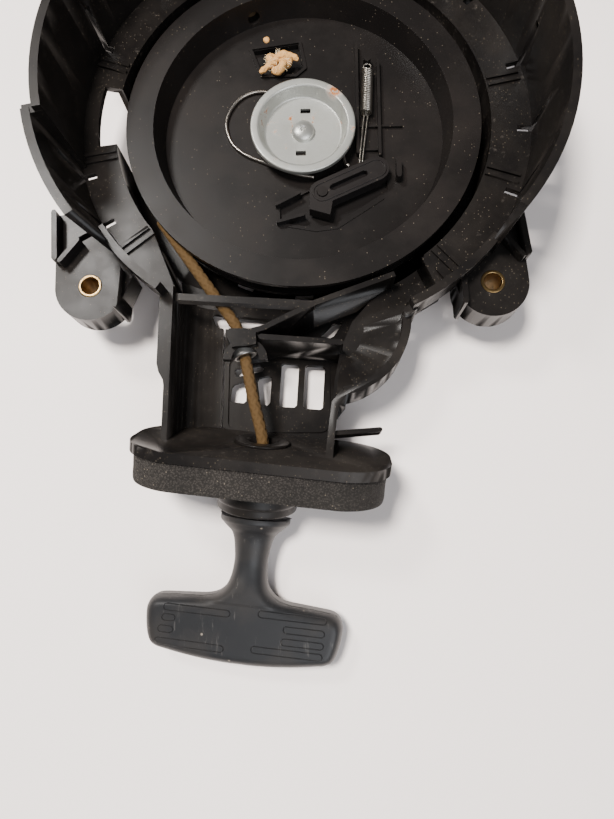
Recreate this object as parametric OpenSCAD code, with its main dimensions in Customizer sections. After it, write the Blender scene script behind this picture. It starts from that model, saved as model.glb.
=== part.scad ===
// Recoil starter: a bowl-shaped housing with a rope neck, a sprung rope pulley and a pull handle.
// Millimetres. The origin is on the pulley's axis, in the plane of its upper flange.
// +Z points out of the open bowl, towards the flywheel. The rope leaves along -Y.

/* [Pulley] */
// Radius of the pulley's flange
pulley_r = 68; // [62:1:80]
// Width of the rope groove
groove_w = 10.5; // [9:0.5:12]
// Radius of the groove's floor
groove_floor_r = 59.5; // [56:0.5:60]
// Thickness of each flange
flange_t = 2; // [1.5:0.1:2.5]
// Depth of the dished web below the flange
web_depth = 11; // [10:0.5:12]
// Thickness of the web
web_t = 2.5; // [2:0.1:3]

/* [Bowl] */
// Gap between the pulley's flange and the wall of its well
pulley_gap = 3.7; // [2:0.1:5]
// Width of the flat shelf around the well
shelf_w = 13.6; // [12:0.2:17]
// Height of the rim above the shelf
rim_h = 36; // [30:1:44]
// Thickness of the bowl's wall at the rim
rim_t = 3; // [2.5:0.1:4]
// Outward lean of the bowl's wall between the shelf and the rim
rim_draft = 1.7; // [1:0.1:3]
// Extra outward lean of the flared stretch of the wall
flare = 5; // [3:0.5:7]
// Height of the low wall beside the neck
low_wall_h = 10; // [6:1:14]
// Thickness of the floors and inner walls
wall_t = 2.5; // [2:0.1:3]
// Depth of the well below the shelf
well_depth = 24.5; // [24:0.5:28]
// Height of the round dome on the outer face
dome_h = 4; // [3:0.5:6]
// Radius of the spring cavity inside the dome
cavity_r = 33; // [31:1:36]

/* [Centre post] */
// Radius of the post that the pulley turns on
post_r = 7; // [6:0.5:8]
// Radial clearance of the pulley on its post
post_clearance = 0.05; // [0.02:0.01:0.1]
// Outer radius of the pulley's hub
hub_r = 11; // [10:0.5:12]
// Radius of the screw's shank
screw_r = 2.5; // [2:0.1:3]

/* [Mounting ears] */
// Distance between the ears' hole centres along X
ear_spacing_x = 146; // [140:1:170]
// Distance between the ears' hole centres along Y
ear_spacing_y = 134; // [130:1:160]
// Offset of the pattern's centre from the pulley's axis along X
ear_offset_x = -4.5; // [-6:0.5:0]
// Radius of an ear around its hole
ear_r = 13; // [11:0.5:14]
// Thickness of an ear
ear_t = 12; // [8:1:14]
// Radius of the bore of a sleeve
sleeve_bore_r = 3.15; // [2.6:0.05:3.6]
// Wall of a sleeve
sleeve_wall = 1.2; // [0.8:0.1:1.6]
// Length of a sleeve
sleeve_len = 18; // [15:1:20]

/* [Neck] */
// Length of the neck's floor beyond the well
neck_len = 46; // [44:1:56]
// Height of the neck's side walls above the shelf
neck_wall_h = 2; // [0:0.5:6]
// Radius of the trough along the left side of the neck
trough_r = 14; // [12:0.5:15]
// Width of the end plate
plate_w = 90; // [84:1:100]
// Height of the end plate
plate_h = 44; // [42:1:50]
// Thickness of the end plate
plate_t = 3.5; // [3:0.1:4]
// Outward lean of the end plate from upright
plate_lean = 21; // [15:1:24]
// Turn of the neck's exit from the -Y direction
neck_turn = 6.3; // [3:0.1:9]
// Thickness of the foam gasket
gasket_t = 10; // [6:1:12]
// Radius of the collar around the rope's exit
collar_r = 15; // [12:0.5:15.5]
// Length of the collar beyond the gasket
collar_len = 10; // [6:1:11]

/* [Rope and handle] */
// Diameter of the rope
rope_d = 4.5; // [4:0.1:5]
// Width of the handle's bar
bar_w = 71; // [60:1:80]
// Depth of the handle's bar along the rope
bar_depth = 22.4; // [20:0.4:28]
// Thickness of the handle's bar
bar_t = 14; // [12:0.5:16]
// Length of the handle's stem between its mouth and the bar
stem_len = 30.6; // [27:0.4:36]
// Downward slope of the handle at rest
handle_slope = 7.5; // [6:0.5:8]

/* [Pawl and springs] */
// Length of the pawl between its pivot and its tip's centre
pawl_len = 23; // [20:0.5:24]
// Width of the pawl
pawl_w = 10; // [9:0.5:11]
// Thickness of the pawl
pawl_t = 5; // [4:0.2:5.4]
// Radius of the retainer cup's rim
cup_r = 20.5; // [19:0.5:22]
// Depth of the retainer cup
cup_h = 6; // [5:0.5:7]
// Diameter of the brake spring's wire
wire_d = 1.4; // [1.2:0.1:1.6]
// Outer diameter of the pawl's return spring
return_spring_d = 5; // [4:0.2:6]

/* [Hidden] */
$fn = 64;
PLASTIC = "#242323";
DARK = "#1d1c1c";
STEEL = "#b9bab4";
BRASS = "#b08b4a";
ROPE = "#a58a58";
FOAM = "#2e2d2c";
HANDLE = "#2b2b2d";
// Depth by which a raised piece is rooted in the face under it
BITE = 0.5;
CUT = 200;
// Flats along the round end of a thin rib, and of a shape that is at least as wide as wide_end
rib_end_steps = 3;
wide_end_steps = 12;
wide_end = 3.5;

// Radii of the bowl, each built on the one inside it
well_r = pulley_r + pulley_gap;
crease_r = well_r + shelf_w;
low_rim_r = crease_r + rim_t;
// The bowl's wall is centred slightly to the right of the pulley's axis
bowl_x = 1.2;
// Ends of the tall wall and of its flared stretch, in degrees from +X
tall_start = -40;
flare_start = 192;
tall_end = 218;
// Directions of the neck's left and right sides at the low wall's ends
low_left_end = 235;
low_right_start = -64;

// Heights
floor_z = -well_depth;
base_z = floor_z - wall_t;
dome_z = base_z - dome_h;
web_z = -web_depth;
groove_z = -flange_t - groove_w / 2;
pulley_bottom_z = -2 * flange_t - groove_w;
cup_floor_z = -8;
cup_t = 1;
post_top_z = cup_floor_z - cup_t;
hub_top_z = post_top_z - 0.4;
ring_wall_top_z = pulley_bottom_z - 1;
// Foot of the bowl's wall, a small lip below the shelf
foot_z = -wall_t - 1;
step_inset = 0.4;

// Everything on the neck hangs from the point where the well would meet it
neck_y = -well_r;
neck_end_y = neck_y - neck_len;
left_wall_x = -51.2;
left_inner_x = -46.4;
left_step_x = left_inner_x - 2;
left_step_y = neck_y - 25.3;
right_wall_x = 11.5;
right_wall_y = neck_y - 40;
bulge_c = [10, neck_y - 8.8];
bulge_r = 28.7;
bulge_floor_z = -12;
// Where the shelf ends on either side of the neck, in degrees from +X
shelf_left_end = 218;
shelf_right_end = -52;
// Top edge of the step between the neck's floor and the bulge
bulge_step = [
  polar(well_r + 1.2, -62), [25.5, neck_y + 0.5], [19.5, neck_y - 6.5],
  [15.3, neck_y - 16.5], [12.8, neck_y - 29], [12, neck_y - 37]
];
// Top of the walls around the grille, just below the shelf
grille_wall_z = -0.5;

// The exit frame: its origin is where the rope passes the end plate's inner face
exit_z = -8;
exit_p = [-14.5, neck_end_y - (exit_z - floor_z) * tan(plate_lean), exit_z];
exit_dir = [
  -sin(neck_turn) * cos(plate_lean),
  -cos(neck_turn) * cos(plate_lean),
  -sin(plate_lean)
];
plate_rise = 4.5;
plate_corner_r = 18;
gasket_inset = 1;
collar_front = plate_t + gasket_t + collar_len;

// The handle's mouth, just clear of the collar
mouth_gap = 3.3;
mouth_p = exit_p + exit_dir * (collar_front + mouth_gap);
mouth_r = 12.5;
stem_r = 5.6;
knot_pocket_r = 6.5;
knot_floor = stem_len + 9;
rope_bore_r = rope_d / 2 + 0.35;

// The rope leaves the groove on a tangent and passes the guide block
rope_r = rope_d / 2;
coil_r = groove_floor_r + rope_r;
leave_r = coil_r + rope_d + 0.25;
guide_in = [-25.3, neck_y - 7.8];
guide_out = [-21.5, neck_y - 19.3];
guide_z = -7.5;
guide_dir = atan2(guide_out.y - guide_in.y, guide_out.x - guide_in.x);
guide_distance = norm(guide_in);
leave_angle = atan2(guide_in.y, guide_in.x) - acos(leave_r / guide_distance);
leave_p = leave_r * [cos(leave_angle), sin(leave_angle)];
ferrule_r = 4.4;
ferrule_bore_r = 2.9;
ferrule_start = 4;
ferrule_len = 9.5;

// Ears
ear_x = [ear_offset_x - ear_spacing_x / 2, ear_offset_x + ear_spacing_x / 2];
ear_y = ear_spacing_y / 2;
sleeve_r = sleeve_bore_r + sleeve_wall;
sleeve_proud = 0.3;
ear_boss_wall = 3;

// Directions of the slots at the foot of the bowl's wall and of the paired ribs on the shelf
slot_angles = [132, 157, 196, 210.5, 15, -4, -22.5, 38, 62, 86, 110];
slot_w = 2.4;
slot_h = 20;
slot_reach = 4;
rib_angles = [161.5, 191, 219, 11.5, -18.5, -48];
rib_gap = 3;
rib_t = 1.2;
rib_h = 1;

// Pawl
pawl_pivot = [7.5, -27.5];
pawl_angle = 25;
pawl_z = web_z + 0.5;
pawl_bore_r = 2.05;
pawl_pin_r = 2;
pawl_pocket_depth = 1.2;

// Handle outline
bar_crown = 3;
bar_taper = 2;
bar_round = 4;

function polar(r, a) = [r * cos(a), r * sin(a)];

// The direction of a vector
function unit(v) = v / norm(v);

// An outline with each corner eased by a length r
function eased(p, r) =
  let (n = len(p))
  [
    for (i = [0 : n - 1])
      let (u = unit(p[(i + n - 1) % n] - p[i]), v = unit(p[(i + 1) % n] - p[i]))
      for (q = [r * u, r * v]) p[i] + q
  ];

// Points along an arc around c
function arc(c, r, a0, a1, steps) = [for (i = [0 : steps]) c + polar(r, a0 + (a1 - a0) * i / steps)];

// A flat stadium of width w between two points
module capsule(a, b, w) {
  dir = atan2(b.y - a.y, b.x - a.x);
  steps = w < wide_end ? rib_end_steps : wide_end_steps;
  polygon(concat(arc(b, w / 2, dir - 90, dir + 90, steps), arc(a, w / 2, dir + 90, dir + 270, steps)));
}

// A flat wall of width w along a chain of points
module chain(points, w) {
  for (i = [0 : len(points) - 2])
    capsule(points[i], points[i + 1], w);
}

// A point beside a bent line, at a distance d from both of the stretches that meet there
function beside(p, i, d) =
  let (
    before = unit(p[max(i, 1)] - p[max(i, 1) - 1]),
    after = unit(p[min(i, len(p) - 2) + 1] - p[min(i, len(p) - 2)]),
    across = unit([-(before + after).y, (before + after).x])
  )
  p[i] + across * d / (across * [-before.y, before.x]);

// A flat wall of width w along a bent line, with mitred bends and square ends
module band(points, w) {
  last = len(points) - 1;
  polygon(concat(
    [for (i = [0 : last]) beside(points, i, w / 2)],
    [for (i = [last : -1 : 0]) beside(points, i, -w / 2)]
  ));
}

// A flat rectangle with round corners, centred on the origin
module round_rect(w, h, r) {
  square([w - 2 * r, h], center = true);
  square([w, h - 2 * r], center = true);
  for (x = [-1, 1], y = [-1, 1])
    translate([x * (w / 2 - r), y * (h / 2 - r)])
      circle(r = r);
}

// Extrudes a flat shape between two heights
module slab(z0, z1) {
  translate([0, 0, z0])
    linear_extrude(height = z1 - z0)
      children();
}

// Revolves a profile of [radius, height] points from one direction to another
module turned(a0, a1) {
  rotate([0, 0, a0])
    rotate_extrude(angle = a1 - a0, $fn = 128)
      children();
}

// A round bar between two points in space
module rod(a, b, r) {
  v = b - a;
  translate(a)
    rotate([0, acos(v.z / norm(v)), atan2(v.y, v.x)])
      cylinder(h = norm(v), r = r);
}

// Places children with +Z along the rope's exit through the end plate and +Y up the plate
module at_exit() {
  translate(exit_p)
    rotate([0, 0, -neck_turn])
      rotate([90 + plate_lean, 0, 0])
        children();
}

// Places children with +Z along the handle, from its mouth
module at_handle() {
  translate(mouth_p)
    rotate([0, 0, -neck_turn])
      rotate([90 + handle_slope, 0, 0])
        children();
}

// The end plate's outline, shrunk by an inset
module plate_outline(inset) {
  translate([0.8, plate_rise])
    round_rect(plate_w - 2 * inset, plate_h - 2 * inset, plate_corner_r - inset);
}

// ---- Housing ----

module well_and_shelf() {
  difference() {
    turned(0, 360)
      polygon([
        [0, dome_z], [cavity_r + 1, dome_z], [cavity_r + 5, base_z], [well_r + wall_t, base_z],
        [well_r + wall_t, -wall_t], [crease_r + 2, -wall_t], [crease_r + 2, 0], [well_r, 0],
        [well_r, floor_z], [cavity_r, floor_z], [cavity_r, dome_z + wall_t], [0, dome_z + wall_t]
      ]);
    neck_mouth();
  }
  turned(0, 360)
    translate([cavity_r, floor_z - BITE])
      square([2, ring_wall_top_z - floor_z + BITE]);
  translate([0, 0, dome_z + wall_t - BITE])
    cylinder(h = post_top_z - dome_z - wall_t + BITE, r = post_r);
}

// The gap in the well's wall and shelf where the neck begins
module neck_mouth() {
  left_edge = [
    [0, -20], polar(well_r - 4, shelf_left_end), polar(well_r - 0.5, shelf_left_end), [-47.2, neck_y + 5.2],
    [left_inner_x, neck_y + 4.6], [left_inner_x, neck_y - 30]
  ];
  slab(floor_z, CUT)
    polygon(concat(left_edge, [
      [11, neck_y - 30], [14, neck_y - 17], [18, neck_y - 7], [24.4, neck_y - 0.5], polar(well_r - 0.5, -64),
      polar(well_r - 4, -64)
    ]));
  slab(bulge_floor_z, CUT)
    polygon(concat(left_edge, [
      [60, neck_y - 30], polar(crease_r + 8, shelf_right_end), polar(well_r - 4, shelf_right_end)
    ]));
}

module bowl_wall() {
  translate([bowl_x, 0, 0])
    turned(tall_start, flare_start + 1)
      polygon([
        [crease_r, foot_z], [crease_r + wall_t, foot_z],
        [crease_r + rim_draft + rim_t, rim_h], [crease_r + rim_draft, rim_h]
      ]);
  turned(flare_start, tall_end)
    polygon([
      [crease_r, foot_z], [crease_r + wall_t, foot_z],
      [crease_r + flare + rim_t, rim_h - 2], [crease_r + flare, rim_h - 2]
    ]);
  // The step where the flared stretch begins, kept inside both walls' faces
  turned(flare_start - 1, flare_start + 1.3)
    polygon([
      [crease_r - bowl_x + step_inset, -step_inset], [crease_r + wall_t - step_inset, -step_inset],
      [crease_r + flare + rim_t - step_inset, rim_h - 2 - step_inset],
      [crease_r + rim_draft - bowl_x + step_inset, rim_h - 2 - step_inset]
    ]);
  for (span = [[tall_end - 4, low_left_end], [low_right_start, tall_start + 2]])
    turned(span[0], span[1])
      polygon([
        [crease_r - 0.7, foot_z + 0.4], [low_rim_r - 0.7, foot_z + 0.4],
        [low_rim_r, low_wall_h], [crease_r, low_wall_h]
      ]);
}

// One mounting ear; side is -1 on the left and 1 on the right, end is -1 at the neck and 1 opposite
module ear(side, end) {
  x = side < 0 ? ear_x[0] : ear_x[1];
  y = end * ear_y;
  outer_x = x + side * ear_r;
  wall_x = side * (crease_r - 7);
  slab(-ear_t, 0) {
    translate([x, y]) circle(r = ear_r);
    polygon([
      [outer_x, y], [outer_x + side * (side < 0 ? 1.5 : -2), y - end * 28],
      [wall_x, y - end * 30], [side * 62, y - end * 4], [x - side * 12, end * (ear_y + 5)]
    ]);
  }
  slab(-ear_t, low_wall_h / 2)
    chain([[x - side * 11.5, y - end * 5], [x - side * 11, y + end * 9]], 2);
  slab(-ear_t, low_wall_h / 2)
    chain([[outer_x - side, y - end * 9], [outer_x - side * (side < 0 ? -0.5 : 3), y - end * 27]], 2);
  slab(-BITE, low_wall_h / 2)
    chain([[x + side * 10, y - end * 8], [x + side * 4, y - end * 16]], 1.6);
  slab(-sleeve_len, -BITE)
    translate([x, y]) circle(r = sleeve_r + ear_boss_wall);
}

module neck_floor() {
  slab(base_z, floor_z)
    polygon([
      [-50, neck_y + 16], [-48, neck_y + 3], [-31.5, neck_y + 2], [-31.5, neck_end_y - 6],
      [right_wall_x - 1, neck_end_y - 6], [right_wall_x + 0.5, neck_y - 37], [15, neck_y - 17],
      [19, neck_y - 7], [25, neck_y], [35, neck_y + 9]
    ]);
  // Raised frame around the grille
  slab(floor_z - BITE, floor_z + 0.8)
    translate([-10.5, neck_y - 30.5])
      difference() {
        round_rect(41, 31, 4);
        round_rect(38, 28, 2.5);
      }
}

// The neck's left wall, which thins towards the end plate, and the trough at its foot
module trough() {
  y0 = neck_y + 4;
  y1 = neck_end_y - 12;
  slab(floor_z + trough_r, neck_wall_h)
    polygon([
      [left_wall_x, y0], [left_wall_x, left_step_y], [left_wall_x + 0.8, left_step_y - 3],
      [left_step_x - 0.3, left_step_y - 6], [left_step_x, left_step_y - 8], [left_step_x, y1],
      [left_inner_x, y1], [left_inner_x, y0]
    ]);
  translate([left_inner_x + trough_r, y1, floor_z + trough_r])
    rotate([-90, 0, 0])
      linear_extrude(height = y0 - y1)
        intersection() {
          difference() {
            circle(r = trough_r + rim_t);
            circle(r = trough_r);
          }
          translate([-CUT, 0]) square([CUT, CUT]);
        }
}

module neck_walls() {
  trough();
  // The low wall's left end runs onto the trough's wall
  slab(-wall_t, neck_wall_h)
    chain([polar(low_rim_r - 1.2, low_left_end), [left_wall_x + 1.7, neck_y + 2]], rim_t);
  // Right wall, from the bulge to the end plate
  slab(base_z, neck_wall_h)
    band([
      [right_wall_x + 3.4, right_wall_y + 4.4], [right_wall_x, right_wall_y],
      [right_wall_x - 1.9, right_wall_y - 15], [right_wall_x - 2.2, neck_end_y - 14]
    ], wall_t);
  // Curved step between the floor and the bulge
  slab(base_z, bulge_floor_z)
    band(concat(bulge_step, [[right_wall_x + 0.4, right_wall_y - 0.4]]), wall_t);
  bulge();
  // Radial end of the shelf beside the bulge
  slab(bulge_floor_z - wall_t, 0)
    band([
      polar(crease_r - 0.8, low_right_start + 1), polar(crease_r - 0.8, -54),
      polar(well_r + 0.6, shelf_right_end)
    ], wall_t);
}

// The bulge beside the neck, with its sloping inside and its round wall
module bulge() {
  floor_outline = concat(
    [polar(well_r + 1.2, -53)],
    bulge_step,
    [for (a = [-78, -60, -40, -20, 0]) bulge_c + polar(bulge_r - 1, a)],
    [polar(crease_r - 0.8, low_right_start), polar(crease_r - 0.8, -58), polar(crease_r - 0.8, -54)]
  );
  slab(bulge_floor_z - wall_t, bulge_floor_z)
    polygon(floor_outline);
  translate([bulge_c.x, bulge_c.y, 0])
    turned(-80, 4)
      translate([bulge_r - rim_t, bulge_floor_z - wall_t - BITE])
        square([rim_t, neck_wall_h - bulge_floor_z + wall_t + BITE]);
  intersection() {
    slab(bulge_floor_z - BITE, -1)
      polygon(floor_outline);
    translate([bulge_c.x, bulge_c.y, 0])
      turned(-88, 6)
        polygon([
          [bulge_r - rim_t - 13, bulge_floor_z - 2], [bulge_r - rim_t + 1.5, bulge_floor_z - 2],
          [bulge_r - rim_t + 1.5, -2], [bulge_r - rim_t - 13, bulge_floor_z + 0.4]
        ]);
  }
  slab(bulge_floor_z - wall_t, low_wall_h / 2)
    chain([bulge_c + polar(bulge_r - 1.8, 2), polar(low_rim_r - 1.2, low_right_start + 1)], rim_t);
}

module neck_ribs() {
  // Thin bar that passes over the rope
  slab(-4.5, grille_wall_z)
    chain([[left_inner_x - 1, neck_y + 0.6], [3.5, neck_y - 2.9]], 2.6);
  // Diagonal wall from the well's edge to the guide block
  slab(base_z, grille_wall_z)
    band([[33.6, neck_y + 8.4], [3.4, neck_y - 2.8], [-13.9, neck_y - 11.6], [-18.6, neck_y - 12.9]], 2);
  // Short wall across the grille
  slab(base_z, grille_wall_z)
    chain([[-14.8, neck_y - 14.9], [13.8, neck_y - 17.3]], 2);
  // Tangent wall that closes the well beside the rope
  slab(base_z, 0)
    chain([polar(well_r + 1, shelf_left_end), [-48.2, neck_y + 5]], wall_t);
  // Locating tab beside the end plate
  slab(-8, 0)
    chain([[right_wall_x, neck_end_y - 4], [27, neck_end_y - 2.8]], 1.6);
}

// The block that guides the rope out of the well, with a C-shaped lip around the rope's way out
module guide_block() {
  slab(base_z, grille_wall_z)
    polygon([
      [-26.2, neck_y - 11.8], [-16.6, neck_y - 11.9], [-16.5, neck_y - 17.8], [-25.1, neck_y - 18.7],
      [-27.6, neck_y - 13.7]
    ]);
  translate([-20.5, neck_y - 22.8, 0])
    slab(-5.5, -2.5)
      difference() {
        circle(r = 8);
        circle(r = 5);
        translate([-CUT / 2, -CUT]) square([CUT, CUT]);
      }
}

// The ears and the bowl are trimmed to the inside of the end plate by this block
module beyond_plate() {
  at_exit()
    translate([-CUT / 2, -CUT / 2, 0])
      cube([CUT, CUT, CUT]);
}

module end_plate() {
  at_exit()
    linear_extrude(height = plate_t)
      plate_outline(0);
}

// Everything that opens the housing
module housing_cuts() {
  // Slots at the foot of the bowl's wall
  for (a = slot_angles)
    rotate([0, 0, a])
      translate([crease_r - slot_reach, -slot_w / 2, foot_z - 1])
        cube([15, slot_w, slot_h - foot_z]);
  // Window beside the pulley
  slab(base_z - BITE, 1)
    intersection() {
      difference() {
        circle(r = crease_r - 6.5);
        circle(r = pulley_r - 2);
      }
      polygon([[0, 0], polar(CUT, 168.5), polar(CUT, 187.5)]);
    }
  // Grille in the neck's floor
  slab(base_z - BITE, floor_z + 1)
    for (opening = grille)
      polygon(eased(opening, 0.9));
  // Rope's way through the end plate
  at_exit()
    translate([0, 0, -1])
      cylinder(h = plate_t + 2, r = eyelet_r);
  // Rope's way through the guide block
  translate([guide_in.x, guide_in.y, guide_z])
    rotate([0, 0, guide_dir])
      rotate([0, 90, 0])
        translate([0, 0, -4])
          cylinder(h = 30, r = ferrule_r);
  // Sleeves
  for (x = ear_x, y = [-ear_y, ear_y])
    translate([x, y, -sleeve_len - 1])
      cylinder(h = CUT, r = sleeve_r);
  // Screw's pilot hole
  translate([0, 0, screw_tip_z])
    cylinder(h = CUT, r = screw_r);
  // Cooling slots in the outer face, around the dome
  for (i = [0 : vent_count - 1])
    rotate([0, 0, i * 360 / vent_count])
      slab(base_z - BITE, floor_z + 1)
        intersection() {
          difference() {
            circle(r = vent_outer_r);
            circle(r = vent_inner_r);
          }
          polygon([[0, 0], polar(CUT, -vent_half_angle), polar(CUT, vent_half_angle)]);
        }
}

eyelet_r = 5.5;
eyelet_wall = 1.5;
eyelet_lip_r = 10;
// Openings of the grille, as [x, y] corners
grille = [
  [[0.3, neck_y - 19.2], [8.1, neck_y - 19.6], [7.1, neck_y - 37.2], [-0.4, neck_y - 36.5]],
  [[-9, neck_y - 18.2], [-2, neck_y - 18.8], [-3, neck_y - 36.2], [-10.1, neck_y - 35.8]],
  [[-18.7, neck_y - 24.4], [-12.8, neck_y - 23.1], [-13.3, neck_y - 35.1], [-17.2, neck_y - 35.5]],
  [[-28.5, neck_y - 27], [-22.6, neck_y - 25], [-22.7, neck_y - 34.4], [-29.3, neck_y - 33.7]],
  [[-27.6, neck_y - 20.2], [-16.6, neck_y - 18.9], [-15.5, neck_y - 21.4], [-27.2, neck_y - 24]],
  [[11.8, neck_y - 1.8], [15.6, neck_y - 1.6], [11.1, neck_y - 8.3], [6, neck_y - 7.5]],
  [[-37.5, neck_y + 2.5], [-6, neck_y - 1], [-8.6, neck_y - 4.6], [-20, neck_y - 5.5], [-35, neck_y - 3.5]]
];
screw_tip_z = -24;
vent_count = 16;
vent_inner_r = cavity_r + 9;
vent_outer_r = well_r - 8;
vent_half_angle = 3.5;

module shelf_ribs() {
  for (a = rib_angles, s = [-1, 1])
    rotate([0, 0, a])
      translate([well_r + 0.5, s * rib_gap / 2 - rib_t / 2, -BITE])
        cube([shelf_w - 1, rib_t, rib_h + BITE]);
}

module housing() {
  color(PLASTIC) {
    difference() {
      union() {
        well_and_shelf();
        bowl_wall();
        shelf_ribs();
        for (side = [-1, 1], end = [-1, 1])
          ear(side, end);
        difference() {
          union() {
            neck_floor();
            neck_walls();
            neck_ribs();
          }
          beyond_plate();
        }
        guide_block();
        end_plate();
      }
      housing_cuts();
    }
  }
}

// ---- Sleeves ----

module sleeve(x, y) {
  color(BRASS)
    translate([x, y, -sleeve_len])
      difference() {
        cylinder(h = sleeve_len + sleeve_proud, r = sleeve_r);
        translate([0, 0, -1])
          cylinder(h = sleeve_len + sleeve_proud + 2, r = sleeve_bore_r);
      }
}

module sleeve_lower_left() { sleeve(ear_x[0], -ear_y); }
module sleeve_lower_right() { sleeve(ear_x[1], -ear_y); }
module sleeve_upper_left() { sleeve(ear_x[0], ear_y); }
module sleeve_upper_right() { sleeve(ear_x[1], ear_y); }

// ---- Pulley ----

dish_top_r = groove_floor_r - 2;
dish_floor_r = groove_floor_r - 4.2;
lower_flange_r = pulley_r - 2;

module pulley_body() {
  turned(0, 360)
    polygon([
      [post_r + post_clearance, hub_top_z], [hub_r - 1, hub_top_z], [hub_r - 1, web_z],
      [dish_floor_r, web_z], [dish_top_r, 0], [pulley_r, 0], [pulley_r, -flange_t],
      [groove_floor_r, -flange_t], [groove_floor_r, -flange_t - groove_w],
      [lower_flange_r, -flange_t - groove_w], [lower_flange_r, pulley_bottom_z],
      [dish_floor_r, pulley_bottom_z], [dish_floor_r, web_z - web_t], [hub_r, web_z - web_t],
      [hub_r, dome_z + wall_t + 1], [post_r + post_clearance, dome_z + wall_t + 1]
    ]);
}

// Raised walls and pads moulded on the web
module pulley_features() {
  slab(web_z - BITE, web_z + 3) {
    chain([[21.6, 40], [21.6, -9]], 1.2);
    chain([[30.2, 32], [30.2, -10]], 1.2);
  }
  slab(web_z - BITE, web_z + 1.4)
    chain([[22, 3.5], [39, 3.5]], 1);
  slab(web_z - BITE, web_z + 1.4)
    chain([[22, -6.9], [29, -6.9]], 1);
  // Post that holds the return spring's upper end
  slab(web_z - BITE, web_z + 4.5)
    translate([25.8, 32]) circle(r = 1.5);
  // Stop beside the pawl's tip
  slab(web_z - BITE, web_z + 4.5)
    chain([[37.2, -13], [37.2, -20]], 2);
  // Pawl's pivot pin
  slab(web_z - BITE, pawl_z + pawl_t + 0.6)
    translate(pawl_pivot) circle(r = pawl_pin_r);
  // Low raised outline of the pawl's bay
  slab(web_z - BITE, web_z + 0.35)
    chain([[-10, -37.8], [5, -40.6], [13, -39.6], [31, -27.5]], 1.2);
  // Round moulding marks
  for (p = [[-28.8, 25], [-26.7, -48.7]])
    translate([p.x, p.y, web_z - BITE])
      cylinder(h = 0.25, r = 3.7);
  // Frame of the knot's pocket
  slab(web_z - BITE, web_z + 0.9)
    chain(knot_frame, 1.2);
  // Walls of the knot's pocket below the web
  slab(pulley_bottom_z, web_z - web_t + BITE)
    chain(knot_frame, 1.2);
  slab(pulley_bottom_z, pulley_bottom_z + 1)
    polygon(knot_frame);
}

knot_frame = [[-22, 40.5], [-1.5, 43.5], [0.8, 31], [-3, 27.5], [-17, 27.5], [-22, 40.5]];

// Two low fins left of the pawl, standing in its bay
module bay_fins() {
  slab(web_z - pawl_pocket_depth - BITE, web_z + 3) {
    chain([[-10.2, -30.8], [-1.5, -26]], 1.2);
    chain([[-9.7, -38.1], [0.3, -35.2]], 1.2);
  }
}

module pulley() {
  color(DARK) {
    bay_fins();
    difference() {
      union() {
        pulley_body();
        pulley_features();
      }
      // Knot's pocket
      slab(pulley_bottom_z + 1, 0)
        polygon([for (p = knot_frame) [-9.5, 34.5] + (p - [-9.5, 34.5]) * 0.9]);
      // Rope's hole from the groove to the pocket
      rod([-14.5, 37, groove_z], [-24, 62, groove_z], rope_r + 0.3);
      // Shallow bay under the pawl
      slab(web_z - pawl_pocket_depth, 0)
        difference() {
          polygon([[-9, -30], [2, -24], [33, -14], [33, -24], [12.5, -38], [5, -39.4], [-9, -37]]);
          translate(pawl_pivot) circle(r = 4);
        }
    }
  }
}

// ---- Mainspring ----

spring_turns = 7;
spring_inner_r = hub_r + 1.6;
spring_outer_r = cavity_r - 1.2;
spring_t = 0.8;
spring_steps = 24;
function spiral_r(i, shift) =
  spring_inner_r + (spring_outer_r - spring_inner_r) * i / (spring_turns * spring_steps) + shift;

module mainspring() {
  count = spring_turns * spring_steps;
  color(STEEL)
    slab(dome_z + wall_t + 0.7, ring_wall_top_z - 1.5)
      polygon(concat(
        [for (i = [0 : count]) polar(spiral_r(i, spring_t / 2), i * 360 / spring_steps)],
        [for (i = [count : -1 : 0]) polar(spiral_r(i, -spring_t / 2), i * 360 / spring_steps)]
      ));
}

// ---- Retainer cup, screw and brake spring ----

cup_slot_y = 9.3;
screw_head_r = 4.6;
screw_head_h = 2.6;

module retainer_cup() {
  color(STEEL)
    difference() {
      turned(0, 360)
        polygon([
          [0, cup_floor_z - cup_t], [cup_r - 4, cup_floor_z - cup_t], [cup_r, cup_floor_z + cup_h - cup_t - 1],
          [cup_r, cup_floor_z + cup_h - cup_t], [cup_r - 3, cup_floor_z + cup_h - cup_t],
          [cup_r - 5, cup_floor_z], [0, cup_floor_z]
        ]);
      slab(-CUT, CUT)
        circle(r = screw_r + 0.2);
      for (s = [-1, 1])
        translate([s * 0.9, s * cup_slot_y, cup_floor_z - 2])
          translate([-2, -1, 0])
            cube([4, 2, 3]);
    }
}

module center_screw() {
  color(STEEL) {
    turned(0, 360)
      polygon([
        [0, cup_floor_z], [screw_head_r, cup_floor_z], [screw_head_r, cup_floor_z + 1],
        [screw_head_r - 1.2, cup_floor_z + screw_head_h - 0.6], [screw_head_r - 3, cup_floor_z + screw_head_h],
        [0, cup_floor_z + screw_head_h]
      ]);
    translate([0, 0, screw_tip_z + 0.5])
      cylinder(h = cup_floor_z - screw_tip_z, r = screw_r);
  }
}

// The brake spring's route: a loop left of the cup, a turn round the hub, and an upturned end at the pawl
wire_r = wire_d / 2;
wire_z = web_z + wire_r + 0.15;
wire_hub_r = hub_r + wire_r - 0.7;
wire_route = [
  [4, -18.4], [-4, -16.5], [-16, -11.5], [-24, -7.5], [-29, -2], [-31, 6],
  [-28.5, 13.5], [-23.5, 18.5], [-16, 20], [-5, 15.5], [4, 13.2], [11, 9], [14, 2],
  [15.2, -6], [16.8, -13.5]
];
wire_end = [17.5, -16];

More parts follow.
